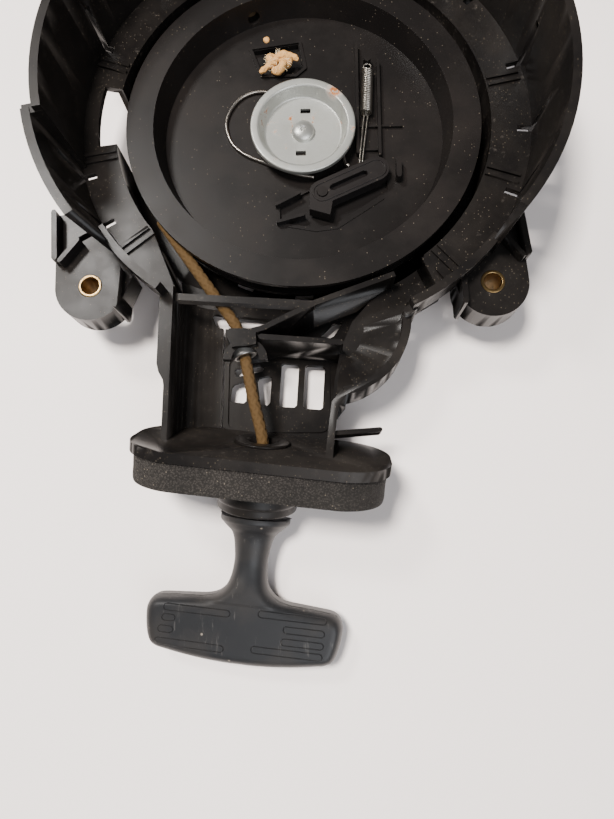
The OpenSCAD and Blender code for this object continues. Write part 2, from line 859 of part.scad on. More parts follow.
module brake_spring() {
  color(STEEL)
    tube(
      concat(
        [for (p = wire_route) concat(p, wire_z)],
        [concat(wire_end, wire_z + 1.2), concat(wire_end, pawl_z + pawl_t)]
      ),
      wire_r, 8
    );
}

// ---- Pawl and its return spring ----

module pawl() {
  tip = polar(pawl_len, pawl_angle);
  color(DARK)
    translate([pawl_pivot.x, pawl_pivot.y, 0])
      difference() {
        union() {
          slab(pawl_z, pawl_z + pawl_t) {
            capsule([0, 0], tip, pawl_w);
            polygon([[-4.8, 1], [-5, -7], [3, -9.5], [4, -4]]);
          }
          slab(pawl_z + pawl_t - BITE, pawl_z + pawl_t + 0.4)
            difference() {
              capsule([0, 0], tip, pawl_w - 2);
              capsule([0, 0], tip, pawl_w - 3.6);
            }
        }
        slab(-CUT, CUT)
          circle(r = pawl_bore_r);
        slab(pawl_z + pawl_t - 2.5, CUT)
          capsule(polar(4.5, pawl_angle), polar(pawl_len - 5, pawl_angle), 2.6);
      }
}

return_top = [25.8, 29.6];
return_low = [25, 8];
return_hook = [22.6, -13.4];
return_z = web_z + return_spring_d / 2 + 0.4;

module return_spring() {
  color(STEEL) {
    rod(concat(return_low, return_z), concat(return_top - [0, 2.5], return_z), return_spring_d / 2);
    rod(concat(return_top - [0, 3], return_z), concat(return_top, return_z), 0.6);
    rod(concat(return_low + [0, 0.5], return_z), concat(return_hook, return_z), 0.8);
  }
}

// ---- Rope ----

module rope_coil() {
  color(ROPE)
    for (s = [-1, 1])
      turned(0, 360)
        translate([coil_r, groove_z + s * (rope_r + 0.15)])
          circle(r = rope_r);
}

// Stations of the rope from the pulley to the collar's mouth
rope_points = [
  concat(leave_p, groove_z),
  concat(leave_p + (guide_in - leave_p) * 0.35, groove_z),
  concat(leave_p + (guide_in - leave_p) * 0.7, groove_z),
  concat(guide_in, guide_z),
  concat((guide_in + guide_out) / 2, guide_z),
  concat(guide_out, guide_z - 0.3),
  [(guide_out.x + exit_p.x) / 2, (guide_out.y + exit_p.y) / 2, (guide_z + exit_z) / 2],
  exit_p - exit_dir * 1.5,
  exit_p + exit_dir * 5,
  exit_p + exit_dir * 14,
  exit_p + exit_dir * collar_front
];

function heading(p, i) = unit(p[min(i + 1, len(p) - 1)] - p[max(i - 1, 0)]);
function ring(p, i, r, sides) =
  let (
    t = heading(p, i),
    u = unit(cross(t, [0.31, 0.23, 1])),
    w = cross(u, t)
  )
  [for (k = [0 : sides - 1])
    p[i] + r * (cos(k * 360 / sides) * u + sin(k * 360 / sides) * w)];

// A closed tube of the given radius along a list of points
module tube(points, r, n) {
  last = len(points) - 1;
  vertices = [for (i = [0 : last], p = ring(points, i, r, n)) p];
  sides = [
    for (i = [0 : last - 1], k = [0 : n - 1])
      [i * n + k, (i + 1) * n + k, (i + 1) * n + (k + 1) % n, i * n + (k + 1) % n]
  ];
  caps = [
    [for (k = [0 : n - 1]) k],
    [for (k = [n - 1 : -1 : 0]) last * n + k]
  ];
  polyhedron(points = vertices, faces = concat(sides, caps));
}

module rope_run() {
  color(ROPE) tube(rope_points, rope_r, 12);
}

knot_p = [-10.6, 34.5, web_z + 3];

module rope_knot_pulley() {
  color(ROPE) {
    translate(knot_p)
      sphere(r = 5.2);
    rod(knot_p, knot_p + [6, 1, -1], 1.6);
  }
}

module rope_handle_end() {
  color(ROPE)
    at_handle()
      cylinder(h = knot_floor - 1.2, r = rope_r);
}

module rope_knot_handle() {
  color(ROPE)
    at_handle()
      translate([0, 0, knot_floor + 5])
        sphere(r = 5);
}

// ---- Handle ----

// The bar seen from above: nearly straight towards the engine, crowned outwards
module bar_outline() {
  half = bar_w / 2;
  offset(r = bar_round)
    offset(delta = -bar_round)
      polygon([
        [-half, 3], [-half + 1, 0.5], [-14, -1.5], [14, -1.5], [half - 1, 0.5], [half, 3],
        [half - bar_taper, bar_depth - bar_crown - 3], [half / 2, bar_depth - 0.8], [0, bar_depth],
        [-half / 2, bar_depth - 0.8], [-half + bar_taper, bar_depth - bar_crown - 3]
      ]);
}

module handle_grip() {
  color(HANDLE)
    at_handle()
      difference() {
        union() {
          translate([0, bar_t / 2, stem_len])
            rotate([90, 0, 0])
              linear_extrude(height = bar_t)
                bar_outline();
          rotate_extrude()
            polygon([
              [0, 0], [mouth_r, 0], [mouth_r, 2.5], [mouth_r - 1.6, 5], [stem_r + 1.2, 10],
              [stem_r, 16], [stem_r, 22], [bar_t / 2, stem_len + 2], [0, stem_len + 2]
            ]);
        }
        translate([0, 0, -1])
          cylinder(h = stem_len + bar_depth, r = rope_bore_r);
        translate([0, 0, knot_floor - 1.2])
          cylinder(h = bar_depth, r = knot_pocket_r);
      }
}

module handle_washer() {
  color(STEEL)
    at_handle()
      translate([0, 0, knot_floor - 1.2])
        difference() {
          cylinder(h = 1.2, r = knot_pocket_r - 0.3);
          translate([0, 0, -1])
            cylinder(h = 4, r = rope_bore_r);
        }
}

// ---- Rope exit and gasket ----

module rope_collar() {
  color(DARK)
    at_exit()
      difference() {
        translate([0, 0, plate_t])
          cylinder(h = collar_front - plate_t, r = collar_r);
        translate([0, 0, -1])
          cylinder(h = CUT, r = eyelet_r);
      }
}

module rope_eyelet() {
  color(DARK)
    at_exit()
      rotate_extrude()
        polygon([
          [eyelet_r - eyelet_wall + 1.4, -1.2], [eyelet_lip_r, -1.2], [eyelet_lip_r, 0], [eyelet_r, 0],
          [eyelet_r, collar_front],
          [eyelet_r - eyelet_wall, collar_front], [eyelet_r - eyelet_wall, 0.6]
        ]);
}

module guide_ferrule() {
  color(STEEL)
    translate([guide_in.x, guide_in.y, guide_z])
      rotate([0, 0, guide_dir])
        rotate([0, 90, 0])
          translate([0, 0, ferrule_start])
            difference() {
              cylinder(h = ferrule_len, r = ferrule_r);
              translate([0, 0, -1])
                cylinder(h = ferrule_len + 2, r = ferrule_bore_r);
            }
}

module foam_gasket() {
  color(FOAM)
    at_exit()
      translate([0, 0, plate_t])
        difference() {
          linear_extrude(height = gasket_t)
            plate_outline(gasket_inset);
          translate([0, 0, -1])
            cylinder(h = gasket_t + 2, r = collar_r + 0.2);
        }
}

housing();
sleeve_lower_left();
sleeve_lower_right();
sleeve_upper_left();
sleeve_upper_right();
pulley();
mainspring();
retainer_cup();
center_screw();
brake_spring();
pawl();
return_spring();
rope_coil();
rope_run();
rope_knot_pulley();
rope_handle_end();
rope_knot_handle();
handle_grip();
handle_washer();
rope_collar();
rope_eyelet();
guide_ferrule();
foam_gasket();
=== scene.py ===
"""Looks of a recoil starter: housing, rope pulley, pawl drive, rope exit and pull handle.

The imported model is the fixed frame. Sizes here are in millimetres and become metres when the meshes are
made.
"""

import logging
import math
from dataclasses import dataclass
from enum import Enum

import bmesh
import bpy
import numpy as np
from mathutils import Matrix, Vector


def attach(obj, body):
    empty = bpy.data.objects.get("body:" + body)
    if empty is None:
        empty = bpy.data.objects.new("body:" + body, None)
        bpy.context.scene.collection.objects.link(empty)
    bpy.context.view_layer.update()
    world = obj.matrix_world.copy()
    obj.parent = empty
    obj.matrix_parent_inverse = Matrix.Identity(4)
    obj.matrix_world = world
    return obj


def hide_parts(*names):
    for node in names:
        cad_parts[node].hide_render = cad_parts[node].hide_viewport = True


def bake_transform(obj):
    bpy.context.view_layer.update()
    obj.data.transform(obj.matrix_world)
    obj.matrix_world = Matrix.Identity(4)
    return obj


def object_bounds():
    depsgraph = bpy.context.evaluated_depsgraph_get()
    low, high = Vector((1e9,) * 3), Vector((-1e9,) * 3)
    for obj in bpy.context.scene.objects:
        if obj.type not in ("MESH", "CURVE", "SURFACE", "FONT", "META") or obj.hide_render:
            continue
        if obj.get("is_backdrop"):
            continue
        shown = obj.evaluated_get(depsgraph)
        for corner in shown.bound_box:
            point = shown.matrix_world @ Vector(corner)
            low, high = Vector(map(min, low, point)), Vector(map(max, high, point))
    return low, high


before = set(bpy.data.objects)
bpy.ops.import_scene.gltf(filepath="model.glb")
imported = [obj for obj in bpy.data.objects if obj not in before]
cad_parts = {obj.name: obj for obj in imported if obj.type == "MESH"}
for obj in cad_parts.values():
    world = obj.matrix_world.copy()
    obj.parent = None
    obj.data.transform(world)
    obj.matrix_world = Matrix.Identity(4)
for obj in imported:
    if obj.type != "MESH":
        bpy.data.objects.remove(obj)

Array = np.ndarray
Color = tuple[float, float, float]
MM = 0.001
PATCH_GAP = 2e-7  # points of a new mesh that are this close become one, in metres
NODE_GAP = 2e-6  # the same for a CAD node's loose triangles
log = logging.getLogger("recoil_starter")


# ---- Surfaces worked out as arrays ----


@dataclass
class Patch:
    """A grid of points, rows by columns, that becomes quads; columns run round a section, rows along it."""

    points: Array
    round_columns: bool = True
    round_rows: bool = False
    mark: Array | None = None


def unit(vectors: Array) -> Array:
    """Vectors divided by their own lengths."""
    return vectors / np.maximum(np.linalg.norm(vectors, axis=-1, keepdims=True), 1e-12)


def polar(radius: float, degrees: float) -> Array:
    """The flat point at a radius and a direction."""
    return radius * np.array([math.cos(math.radians(degrees)), math.sin(math.radians(degrees))])


def curve_through(points: list, step: float) -> Array:
    """Points at even steps along a smooth curve through the given ones.

    Each span is the Catmull-Rom cubic of its four neighbours; the dense curve is then cut at equal lengths.

    Args:
        points: The points that the curve passes, in order.
        step: Distance between the points that come back.

    Returns:
        The stations, one row each.
    """
    p = np.asarray(points, float)
    p = np.vstack([2 * p[0] - p[1], p, 2 * p[-1] - p[-2]])
    t = np.linspace(0, 1, 40, endpoint=False)[:, None, None]
    a, b, c, d = p[:-3], p[1:-2], p[2:-1], p[3:]
    square, cube = 2 * a - 5 * b + 4 * c - d, 3 * b - a - 3 * c + d
    dense = 0.5 * (2 * b + (c - a) * t + square * t**2 + cube * t**3)
    dense = np.vstack([dense.transpose(1, 0, 2).reshape(-1, 3), p[-2]])
    along = np.concatenate([[0], np.cumsum(np.linalg.norm(np.diff(dense, axis=0), axis=1))])
    stations = np.linspace(0, along[-1], max(int(along[-1] / step), 2) + 1)
    return np.stack([np.interp(stations, along, dense[:, k]) for k in range(3)], 1)


def lengths(path: Array) -> Array:
    """Distance along a path at each of its stations."""
    return np.concatenate([[0], np.cumsum(np.linalg.norm(np.diff(path, axis=0), axis=1))])


def carried_frames(path: Array) -> tuple[Array, Array, Array]:
    """Tangent and two normals at each station, turned from one to the next by the least rotation.

    Args:
        path: The stations.

    Returns:
        Tangents, first normals and second normals.
    """
    tangents = unit(np.gradient(path, axis=0))
    start = np.cross(tangents[0], [0.31, 0.23, 1.0])
    normals = [start / np.linalg.norm(start)]
    for tangent in tangents[1:]:
        flat = normals[-1] - tangent * (normals[-1] @ tangent)
        normals.append(flat / np.linalg.norm(flat))
    first = np.array(normals)
    return tangents, first, np.cross(tangents, first)


def tube(path: Array, radius: Array | float, sides: int, relief: Array | None = None) -> Patch:
    """A round bar along a path with domed ends.

    A point is the station plus radius times (cos v times the first normal plus sin v times the second); the
    ends add three rings whose radius falls as the cosine while they move out as the sine.

    Args:
        path: The stations.
        radius: One radius, or one for each station.
        sides: Points round the bar.
        relief: Height added to the radius, stations by sides.

    Returns:
        The closed patch.
    """
    tangent, first, second = carried_frames(path)
    r = np.broadcast_to(np.asarray(radius, float), (len(path),))
    height = np.zeros((len(path), sides)) if relief is None else relief
    dome = np.radians([90.0, 60.0, 30.0])
    rise = 0.5 * np.sin(dome)
    out = np.concatenate([-rise * r[0], np.zeros(len(path)), rise[::-1] * r[-1]])
    shrink = np.concatenate([np.cos(dome), np.ones(len(path)), np.cos(dome[::-1])])
    pick = np.concatenate([[0] * 3, np.arange(len(path)), [len(path) - 1] * 3])
    v = np.linspace(0, 2 * np.pi, sides, endpoint=False)
    across, up = np.cos(v)[None, :, None], np.sin(v)[None, :, None]
    reach = ((r[:, None] + height)[pick] * shrink[:, None])[..., None]
    ring = across * first[pick][:, None] + up * second[pick][:, None]
    points = path[pick][:, None] + tangent[pick][:, None] * out[:, None, None] + reach * ring
    mark = None if relief is None else (relief / max(float(relief.max()), 1e-9))[pick]
    return Patch(points, mark=mark)


@dataclass(frozen=True)
class Plait:
    """How a rope is braided: points round it, ridges of one family, length of one turn and groove depth."""

    sides: int
    ridges: int
    pitch: float
    depth: float

    def relief(self, path: Array) -> Array:
        """Height of the braid: two families of ridges wind opposite ways and take turns on top.

        A family's ridge is the cosine of (ridges times the angle, plus or minus the turns made so far); the
        one on top is chosen by the sign of the product of their half-angle sines, softened.

        Args:
            path: The stations.

        Returns:
            Heights, stations by sides, from minus depth to 0.
        """
        s = 2 * np.pi * lengths(path)[:, None] / self.pitch * self.ridges / 2
        v = self.ridges * np.linspace(0, 2 * np.pi, self.sides, endpoint=False)[None, :]
        left, right = np.cos(v + s) * 0.5 + 0.5, np.cos(v - s) * 0.5 + 0.5
        top = 0.5 + 0.5 * np.tanh(3 * np.sin((v + s) / 2) * np.sin((v - s) / 2))
        ridge = np.maximum(np.sqrt(left) * (0.55 + 0.45 * top), np.sqrt(right) * (1 - 0.45 * top))
        return self.depth * (ridge - 1)

    def rope(self, path: Array, radius: Array | float) -> Patch:
        """The braided rope along a path."""
        return tube(path, radius, self.sides, self.relief(path))


def rounded(profile: list, radius: float, closed: bool, steps: int = 4) -> Array:
    """A profile whose corners are rounded by quadratic curves that start and end `radius` from the corner.

    Args:
        profile: Corners as [radius, height].
        radius: Reach of each curve along its two sides, at most 45% of a side.
        closed: True where the last corner joins the first.
        steps: Points on each curve, less one.

    Returns:
        The rounded profile.
    """
    p = np.asarray(profile, float)
    before, after = np.roll(p, 1, 0), np.roll(p, -1, 0)
    reach_in = np.minimum(radius, 0.45 * np.linalg.norm(before - p, axis=1))[:, None]
    reach_out = np.minimum(radius, 0.45 * np.linalg.norm(after - p, axis=1))[:, None]
    a, b = p + unit(before - p) * reach_in, p + unit(after - p) * reach_out
    t = np.linspace(0, 1, steps + 1)[None, :, None]
    curve = a[:, None] * (1 - t) ** 2 + 2 * p[:, None] * t * (1 - t) + b[:, None] * t**2
    if closed:
        return curve.reshape(-1, 2)
    return np.vstack([p[:1], curve[1:-1].reshape(-1, 2), p[-1:]])


def lathe(profile: Array, segments: int, closed: bool) -> Patch:
    """A profile of [radius, height] carried round the local Z axis: x = r cos u, y = r sin u, z = height.

    Args:
        profile: The points of the section.
        segments: Steps round the axis.
        closed: True for a ring, whose section joins up.

    Returns:
        The patch, rows along the section.
    """
    u = np.linspace(0, 2 * np.pi, segments, endpoint=False)
    r, z = profile[:, :1], profile[:, 1:]
    return Patch(np.stack([r * np.cos(u), r * np.sin(u), z + 0 * u], -1), round_rows=closed)


@dataclass(frozen=True)
class Place:
    """Where a local shape goes: tipped about X, then turned about Z, then moved."""

    origin: tuple[float, float, float] = (0.0, 0.0, 0.0)
    turn: float = 0.0
    tip: float = 0.0

    def axes(self) -> Array:
        """The three local axes as rows."""
        a, b = math.radians(self.turn), math.radians(self.tip)
        about_z = np.array([[math.cos(a), -math.sin(a), 0], [math.sin(a), math.cos(a), 0], [0, 0, 1]])
        about_x = np.array([[1, 0, 0], [0, math.cos(b), -math.sin(b)], [0, math.sin(b), math.cos(b)]])
        return (about_z @ about_x).T

    def point(self, x: float, y: float, z: float) -> Array:
        """A local point in the shared frame."""
        return np.array([x, y, z]) @ self.axes() + np.array(self.origin)

    def __call__(self, patch: Patch) -> Patch:
        """The patch carried to this place."""
        points = patch.points @ self.axes() + np.array(self.origin)
        return Patch(points, patch.round_columns, patch.round_rows, patch.mark)


# ---- Meshes ----


def quads_of(patch: Patch) -> tuple[Array, Array]:
    """Corner numbers and UVs of a patch's quads; U is the length along the rows, V the share round a row.

    Args:
        patch: The grid of points.

    Returns:
        Quads of four corner numbers, and their UVs.
    """
    rows, columns = patch.points.shape[:2]
    i = np.arange(rows if patch.round_rows else rows - 1)
    j = np.arange(columns if patch.round_columns else columns - 1)
    a, b = (g.ravel() for g in np.meshgrid(i, j, indexing="ij"))
    corners = [(a, b), (a + 1, b), (a + 1, b + 1), (a, b + 1)]
    quads = np.stack([(x % rows) * columns + y % columns for x, y in corners], 1)
    centre = patch.points.mean(1)
    along = lengths(np.vstack([centre, centre[:1]]))
    uvs = np.stack([np.stack([along[x], y / columns], 1) for x, y in corners], 1)
    return quads, uvs


def set_mark(mesh: bpy.types.Mesh, values: Array) -> None:
    """Stores one value a vertex as the attribute that the finishes read."""
    mesh.attributes.new("mark", "FLOAT", "POINT").data.foreach_set("value", values.astype(np.float32))


def mesh_of(name: str, patches: list[Patch]) -> bpy.types.Mesh:
    """One mesh of all patches, its doubles merged and its faces turned outwards.

    Args:
        name: Name of the mesh.
        patches: The grids of points, in millimetres.

    Returns:
        The mesh, in metres.
    """
    grids = [quads_of(p) for p in patches]
    counts = [p.points.shape[0] * p.points.shape[1] for p in patches]
    starts = np.concatenate([[0], np.cumsum(counts)[:-1]])
    points = np.vstack([p.points.reshape(-1, 3) for p in patches]) * MM
    quads = np.vstack([g[0] + s for g, s in zip(grids, starts)])
    uvs = np.vstack([g[1].reshape(-1, 2) for g in grids])
    marks = [np.zeros(n) if p.mark is None else p.mark.ravel() for p, n in zip(patches, counts)]
    mesh = bpy.data.meshes.new(name)
    mesh.from_pydata(points.tolist(), [], quads.tolist())
    mesh.uv_layers.new(name="UVMap").data.foreach_set("uv", uvs.ravel().astype(np.float32))
    set_mark(mesh, np.concatenate(marks))
    work = bmesh.new()
    work.from_mesh(mesh)
    bmesh.ops.remove_doubles(work, verts=work.verts, dist=PATCH_GAP)
    bmesh.ops.dissolve_degenerate(work, edges=work.edges, dist=0.05 * PATCH_GAP)
    bmesh.ops.recalc_face_normals(work, faces=work.faces)
    work.to_mesh(mesh)
    work.free()
    return mesh


def shade(mesh: bpy.types.Mesh, sharp: float) -> None:
    """Smooth shading, broken at edges over `sharp` degrees."""
    mesh.shade_smooth()
    mesh.set_sharp_from_angle(angle=math.radians(sharp))


def add_object(name: str, mesh: bpy.types.Mesh) -> bpy.types.Object:
    """A new object at the origin that holds the mesh."""
    piece = bpy.data.objects.new(name, mesh)
    bpy.context.scene.collection.objects.link(piece)
    return piece


def made(name: str, patches: list[Patch], sharp: float) -> bpy.types.Object:
    """A new object of the patches, smooth but for edges over `sharp` degrees."""
    mesh = mesh_of(name, patches)
    shade(mesh, sharp)
    return add_object(name, mesh)


def edge_mark(mesh: bpy.types.Mesh) -> Array:
    """How convex the surface is at each vertex, from 0 to 1.

    For each edge between two faces the turn is one minus the dot of their normals, counted where the second
    face's centre lies behind the first face. A vertex takes the sum of its edges.

    Args:
        mesh: The mesh to measure.

    Returns:
        One value a vertex.
    """

    def read(items: object, key: str, width: int, kind: type) -> Array:
        """One property of every item, a row each."""
        values = np.zeros(len(items) * width, kind)
        items.foreach_get(key, values)
        return values.reshape(-1, width) if width > 1 else values

    polygons = mesh.polygons
    edge_of_loop, total = read(mesh.loops, "edge_index", 1, int), read(polygons, "loop_total", 1, int)
    normal, centre = read(polygons, "normal", 3, float), read(polygons, "center", 3, float)
    ends = read(mesh.edges, "vertices", 2, int)
    face_of_loop = np.repeat(np.arange(len(polygons)), total)
    order = np.argsort(edge_of_loop, kind="stable")
    edges, faces = edge_of_loop[order], face_of_loop[order]
    pair = np.flatnonzero(edges[1:] == edges[:-1])
    edge, one, two = edges[pair], faces[pair], faces[pair + 1]
    behind = ((centre[two] - centre[one]) * normal[one]).sum(1) < 0
    turn = np.where(behind, 1 - (normal[one] * normal[two]).sum(1), 0)
    value = np.zeros(len(mesh.vertices))
    np.add.at(value, ends[edge].ravel(), np.repeat(turn, 2))
    return np.clip(value * 5, 0, 1)


def softened(name: str, node: str, width: float, angle: float = 32) -> bpy.types.Object:
    """A CAD node's own shape with its sharp edges rounded and its convex edges marked, for wear and a
    painted highlight.

    Args:
        name: Name of the new piece.
        node: The CAD node that is copied.
        width: Width of the rounding.
        angle: Smallest angle of an edge that is rounded, in degrees.

    Returns:
        The new piece, which replaces the node.
    """
    work = bmesh.new()
    work.from_mesh(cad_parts[node].data)
    bmesh.ops.remove_doubles(work, verts=work.verts, dist=NODE_GAP)
    bmesh.ops.dissolve_limit(work, angle_limit=math.radians(0.6), verts=work.verts, edges=work.edges)
    sharp = [e for e in work.edges if len(e.link_faces) == 2 and e.calc_face_angle(0) > math.radians(angle)]
    bmesh.ops.bevel(
        work, geom=sharp, offset=width * MM, offset_type="OFFSET", segments=2, profile=0.5,
        affect="EDGES", clamp_overlap=True, loop_slide=True, material=-1,
    )
    mesh = bpy.data.meshes.new(name)
    work.to_mesh(mesh)
    work.free()
    mesh.materials.clear()
    set_mark(mesh, edge_mark(mesh))
    shade(mesh, 50)
    piece = add_object(name, mesh)
    weighted = piece.modifiers.new("even_normals", "WEIGHTED_NORMAL")
    weighted.keep_sharp = True
    weighted.weight = 60
    return piece


def carve(piece: bpy.types.Object, cutters: list[Patch]) -> None:
    """Takes closed patches out of a piece with an exact boolean, applied to its mesh."""
    tool = add_object("cutter", mesh_of("cutter", cutters))
    cut = piece.modifiers.new("cut", "BOOLEAN")
    cut.operation, cut.object, cut.solver = "DIFFERENCE", tool, "EXACT"
    graph = bpy.context.evaluated_depsgraph_get()
    piece.data = bpy.data.meshes.new_from_object(piece.evaluated_get(graph))
    piece.modifiers.clear()
    bpy.data.objects.remove(tool)


def block(low: Array, high: Array) -> Patch:
    """A closed box between two corners: a square ring carried up, its ends drawn in to their middle."""
    x = np.array([low[0], high[0], high[0], low[0]])
    y = np.array([low[1], low[1], high[1], high[1]])
    middle = (np.asarray(low, float) + np.asarray(high, float)) / 2
    rows = [np.stack([x, y, np.full(4, z)], 1) for z in (low[2], high[2])]
    ends = [np.tile([middle[0], middle[1], z], (4, 1)) for z in (low[2], high[2])]
    return Patch(np.stack([ends[0], rows[0], rows[1], ends[1]]))


# ---- Node trees ----


class Tree:
    """Adds nodes to a node tree; an input is given by its name or number, as a value or a socket."""

    def __init__(self, tree: bpy.types.NodeTree) -> None:
        """Keeps the tree that the nodes go into."""
        self.tree = tree

    def add(self, kind: str, inputs: dict | None = None, **settings: object) -> bpy.types.Node:
        """One node, with its settings made and its inputs filled or wired.

        Args:
            kind: The node's type after "ShaderNode", or a full type name.
            inputs: Values or output sockets, by input name or number.
            **settings: Properties of the node.

        Returns:
            The node.
        """
        node = self.tree.nodes.new(kind if kind.startswith("Node") else "ShaderNode" + kind)
        for key, value in settings.items():
            setattr(node, key, value)
        for key, value in (inputs or {}).items():
            if isinstance(value, bpy.types.NodeSocket):
                self.tree.links.new(value, node.inputs[key])
            else:
                node.inputs[key].default_value = value
        return node

    def math(self, operation: str, a: object, b: object = 0.0, clamp: bool = False) -> bpy.types.NodeSocket:
        """The output of a math node."""
        return self.add("Math", {0: a, 1: b}, operation=operation, use_clamp=clamp).outputs[0]

    def ramp(self, value: object, low: float, high: float) -> bpy.types.NodeSocket:
        """0 below low, 1 above high and smooth between."""
        inputs = {"Value": value, "From Min": low, "From Max": high}
        return self.add("MapRange", inputs, interpolation_type="SMOOTHSTEP").outputs[0]

    def mix(self, share: object, a: object, b: object) -> bpy.types.NodeSocket:
        """Colour a turned into colour b by the share."""
        node = self.add("Mix", {0: share}, data_type="RGBA")
        for socket, value in ((node.inputs[6], a), (node.inputs[7], b)):
            if isinstance(value, bpy.types.NodeSocket):
                self.tree.links.new(value, socket)
            else:
                socket.default_value = (*value, 1.0)
        return node.outputs[2]

    def vector(self, operation: str, a: object, b: object = None) -> bpy.types.Node:
        """A vector math node."""
        return self.add("VectorMath", {0: a} if b is None else {0: a, 1: b}, operation=operation)

    def tint(self, color: object, mask: object, share: float, other: object) -> bpy.types.NodeSocket:
        """A colour turned into another one by a share of the mask."""
        return self.mix(self.math("MULTIPLY", mask, share), color, other)

    def noise(
        self, place: object, scale: object, detail: float = 4.0, rough: float = 0.55
    ) -> bpy.types.NodeSocket:
        """The value of a noise texture."""
        inputs = {"Vector": place, "Scale": scale, "Detail": detail, "Roughness": rough}
        return self.add("TexNoise", inputs).outputs["Fac"]


class Effect(Enum):
    """The surface effects that several finishes share."""

    GRAIN = "moulded_grain"
    DUST = "dust_specks"
    WEAR_AND_HIGHLIGHT = "edge_wear_and_highlight"
    SMUDGE = "smudges"
    PORES = "foam_pores"
    RUST = "rust_spots"
    SCRATCH = "fine_scratches"
    PILL = "pill_outline"


class Effects:
    """Builds each shared node group once; a group takes plain values and gives masks or heights."""

    SOCKETS = {
        Effect.GRAIN: (("Scale", 2500.0), ("Coarse", 0.3)),
        Effect.DUST: (("Scale", 500.0), ("Amount", 0.3)),
        Effect.WEAR_AND_HIGHLIGHT: (("Edge", 0.0), ("Scale", 300.0), ("Amount", 0.5)),
        Effect.SMUDGE: (("Scale", 30.0), ("Low", 0.4), ("High", 0.7)),
        Effect.PORES: (("Scale", 900.0),),
        Effect.RUST: (("Scale", 250.0), ("Amount", 0.3)),
        Effect.SCRATCH: (("Scale", 400.0), ("Stretch", 0.04)),
        Effect.PILL: (("Half Width", 1.1), ("Line", 0.22)),
    }

    def __init__(self) -> None:
        """Starts with no group built."""
        self.groups: dict[Effect, bpy.types.NodeTree] = {}

    def place(self, tree: Tree, effect: Effect, **values: object) -> bpy.types.NodeSocket:
        """Puts a shared effect into a material.

        Args:
            tree: The material's tree.
            effect: Which effect.
            **values: Its inputs, with underscores for spaces.

        Returns:
            The effect's mask or height.
        """
        group = self.groups.get(effect) or self.build(effect)
        node = tree.add("Group", node_tree=group)
        for key, value in values.items():
            socket = node.inputs[key.replace("_", " ")]
            if isinstance(value, bpy.types.NodeSocket):
                tree.tree.links.new(value, socket)
            else:
                socket.default_value = value
        return node.outputs[0]

    def build(self, effect: Effect) -> bpy.types.NodeTree:
        """Makes one effect's group.

        Args:
            effect: Which effect.

        Returns:
            The node group.
        """
        group = bpy.data.node_groups.new(effect.value, "ShaderNodeTree")
        group.interface.new_socket(name="Vector", in_out="INPUT", socket_type="NodeSocketVector")
        if effect is Effect.PILL:
            for name in ("Start", "End"):
                group.interface.new_socket(name=name, in_out="INPUT", socket_type="NodeSocketVector")
        for name, value in self.SOCKETS[effect]:
            socket = group.interface.new_socket(name=name, in_out="INPUT", socket_type="NodeSocketFloat")
            socket.default_value = value
        group.interface.new_socket(name="Value", in_out="OUTPUT", socket_type="NodeSocketFloat")
        tree = Tree(group)
        given = tree.add("NodeGroupInput").outputs
        value = getattr(self, effect.name.lower())(tree, given)
        tree.add("NodeGroupOutput", {"Value": value})
        self.groups[effect] = group
        return group

    @staticmethod
    def grain(tree: Tree, given: object) -> bpy.types.NodeSocket:
        """Fine pits with a coarser orange peel under them."""
        fine = tree.noise(given["Vector"], given["Scale"], 2.0, 0.6)
        broad = tree.noise(given["Vector"], tree.math("MULTIPLY", given["Scale"], 0.18), 2.0)
        return tree.math("ADD", fine, tree.math("MULTIPLY", broad, given["Coarse"]))

    @staticmethod
    def dust(tree: Tree, given: object) -> bpy.types.NodeSocket:
        """Small round specks in some of the cells of a Voronoi pattern, thicker in some areas."""
        cells = tree.add("TexVoronoi", {"Vector": given["Vector"], "Scale": given["Scale"]})
        near = tree.math("SUBTRACT", 1.0, tree.ramp(cells.outputs["Distance"], 0.06, 0.26))
        kept = tree.add("SeparateColor", {"Color": cells.outputs["Color"]}).outputs[0]
        area = tree.noise(given["Vector"], 45.0, 3.0)
        share = tree.math("MULTIPLY", given["Amount"], tree.ramp(area, 0.3, 0.75))
        chosen = tree.math("LESS_THAN", kept, share)
        return tree.math("MULTIPLY", near, chosen)

    @staticmethod
    def wear_and_highlight(tree: Tree, given: object) -> bpy.types.NodeSocket:
        """The marked convex edges, broken up by noise: partly wear, partly a painted highlight."""
        broken = tree.noise(given["Vector"], given["Scale"], 5.0, 0.7)
        low = tree.math("SUBTRACT", 0.85, tree.math("MULTIPLY", given["Amount"], 0.5))
        share = tree.math("MULTIPLY", tree.math("SUBTRACT", broken, low), 6.0, True)
        return tree.math("MULTIPLY", share, given["Edge"], True)

    @staticmethod
    def smudge(tree: Tree, given: object) -> bpy.types.NodeSocket:
        """Broad soft patches."""
        cloud = tree.noise(given["Vector"], given["Scale"], 6.0, 0.62)
        inputs = {"Value": cloud, "From Min": given["Low"], "From Max": given["High"]}
        return tree.add("MapRange", inputs).outputs[0]

    @staticmethod
    def pores(tree: Tree, given: object) -> bpy.types.NodeSocket:
        """Round open cells of two sizes."""
        cells = []
        for finer, deeper in ((1.0, 1.6), (2.3, 2.2)):
            scale = tree.math("MULTIPLY", given["Scale"], finer)
            near = tree.add("TexVoronoi", {"Vector": given["Vector"], "Scale": scale}).outputs["Distance"]
            cells.append(tree.math("MULTIPLY", near, deeper))
        return tree.math("MINIMUM", *cells, True)

    @staticmethod
    def rust(tree: Tree, given: object) -> bpy.types.NodeSocket:
        """Ragged spots where two noises meet."""
        spots = tree.noise(given["Vector"], given["Scale"], 5.0, 0.7)
        area = tree.noise(given["Vector"], tree.math("MULTIPLY", given["Scale"], 0.22), 2.0)
        both = tree.math("MULTIPLY", spots, tree.math("ADD", area, 0.45))
        low = tree.math("SUBTRACT", 0.72, tree.math("MULTIPLY", given["Amount"], 0.35))
        return tree.math("MULTIPLY", tree.math("SUBTRACT", both, low), 11.0, True)

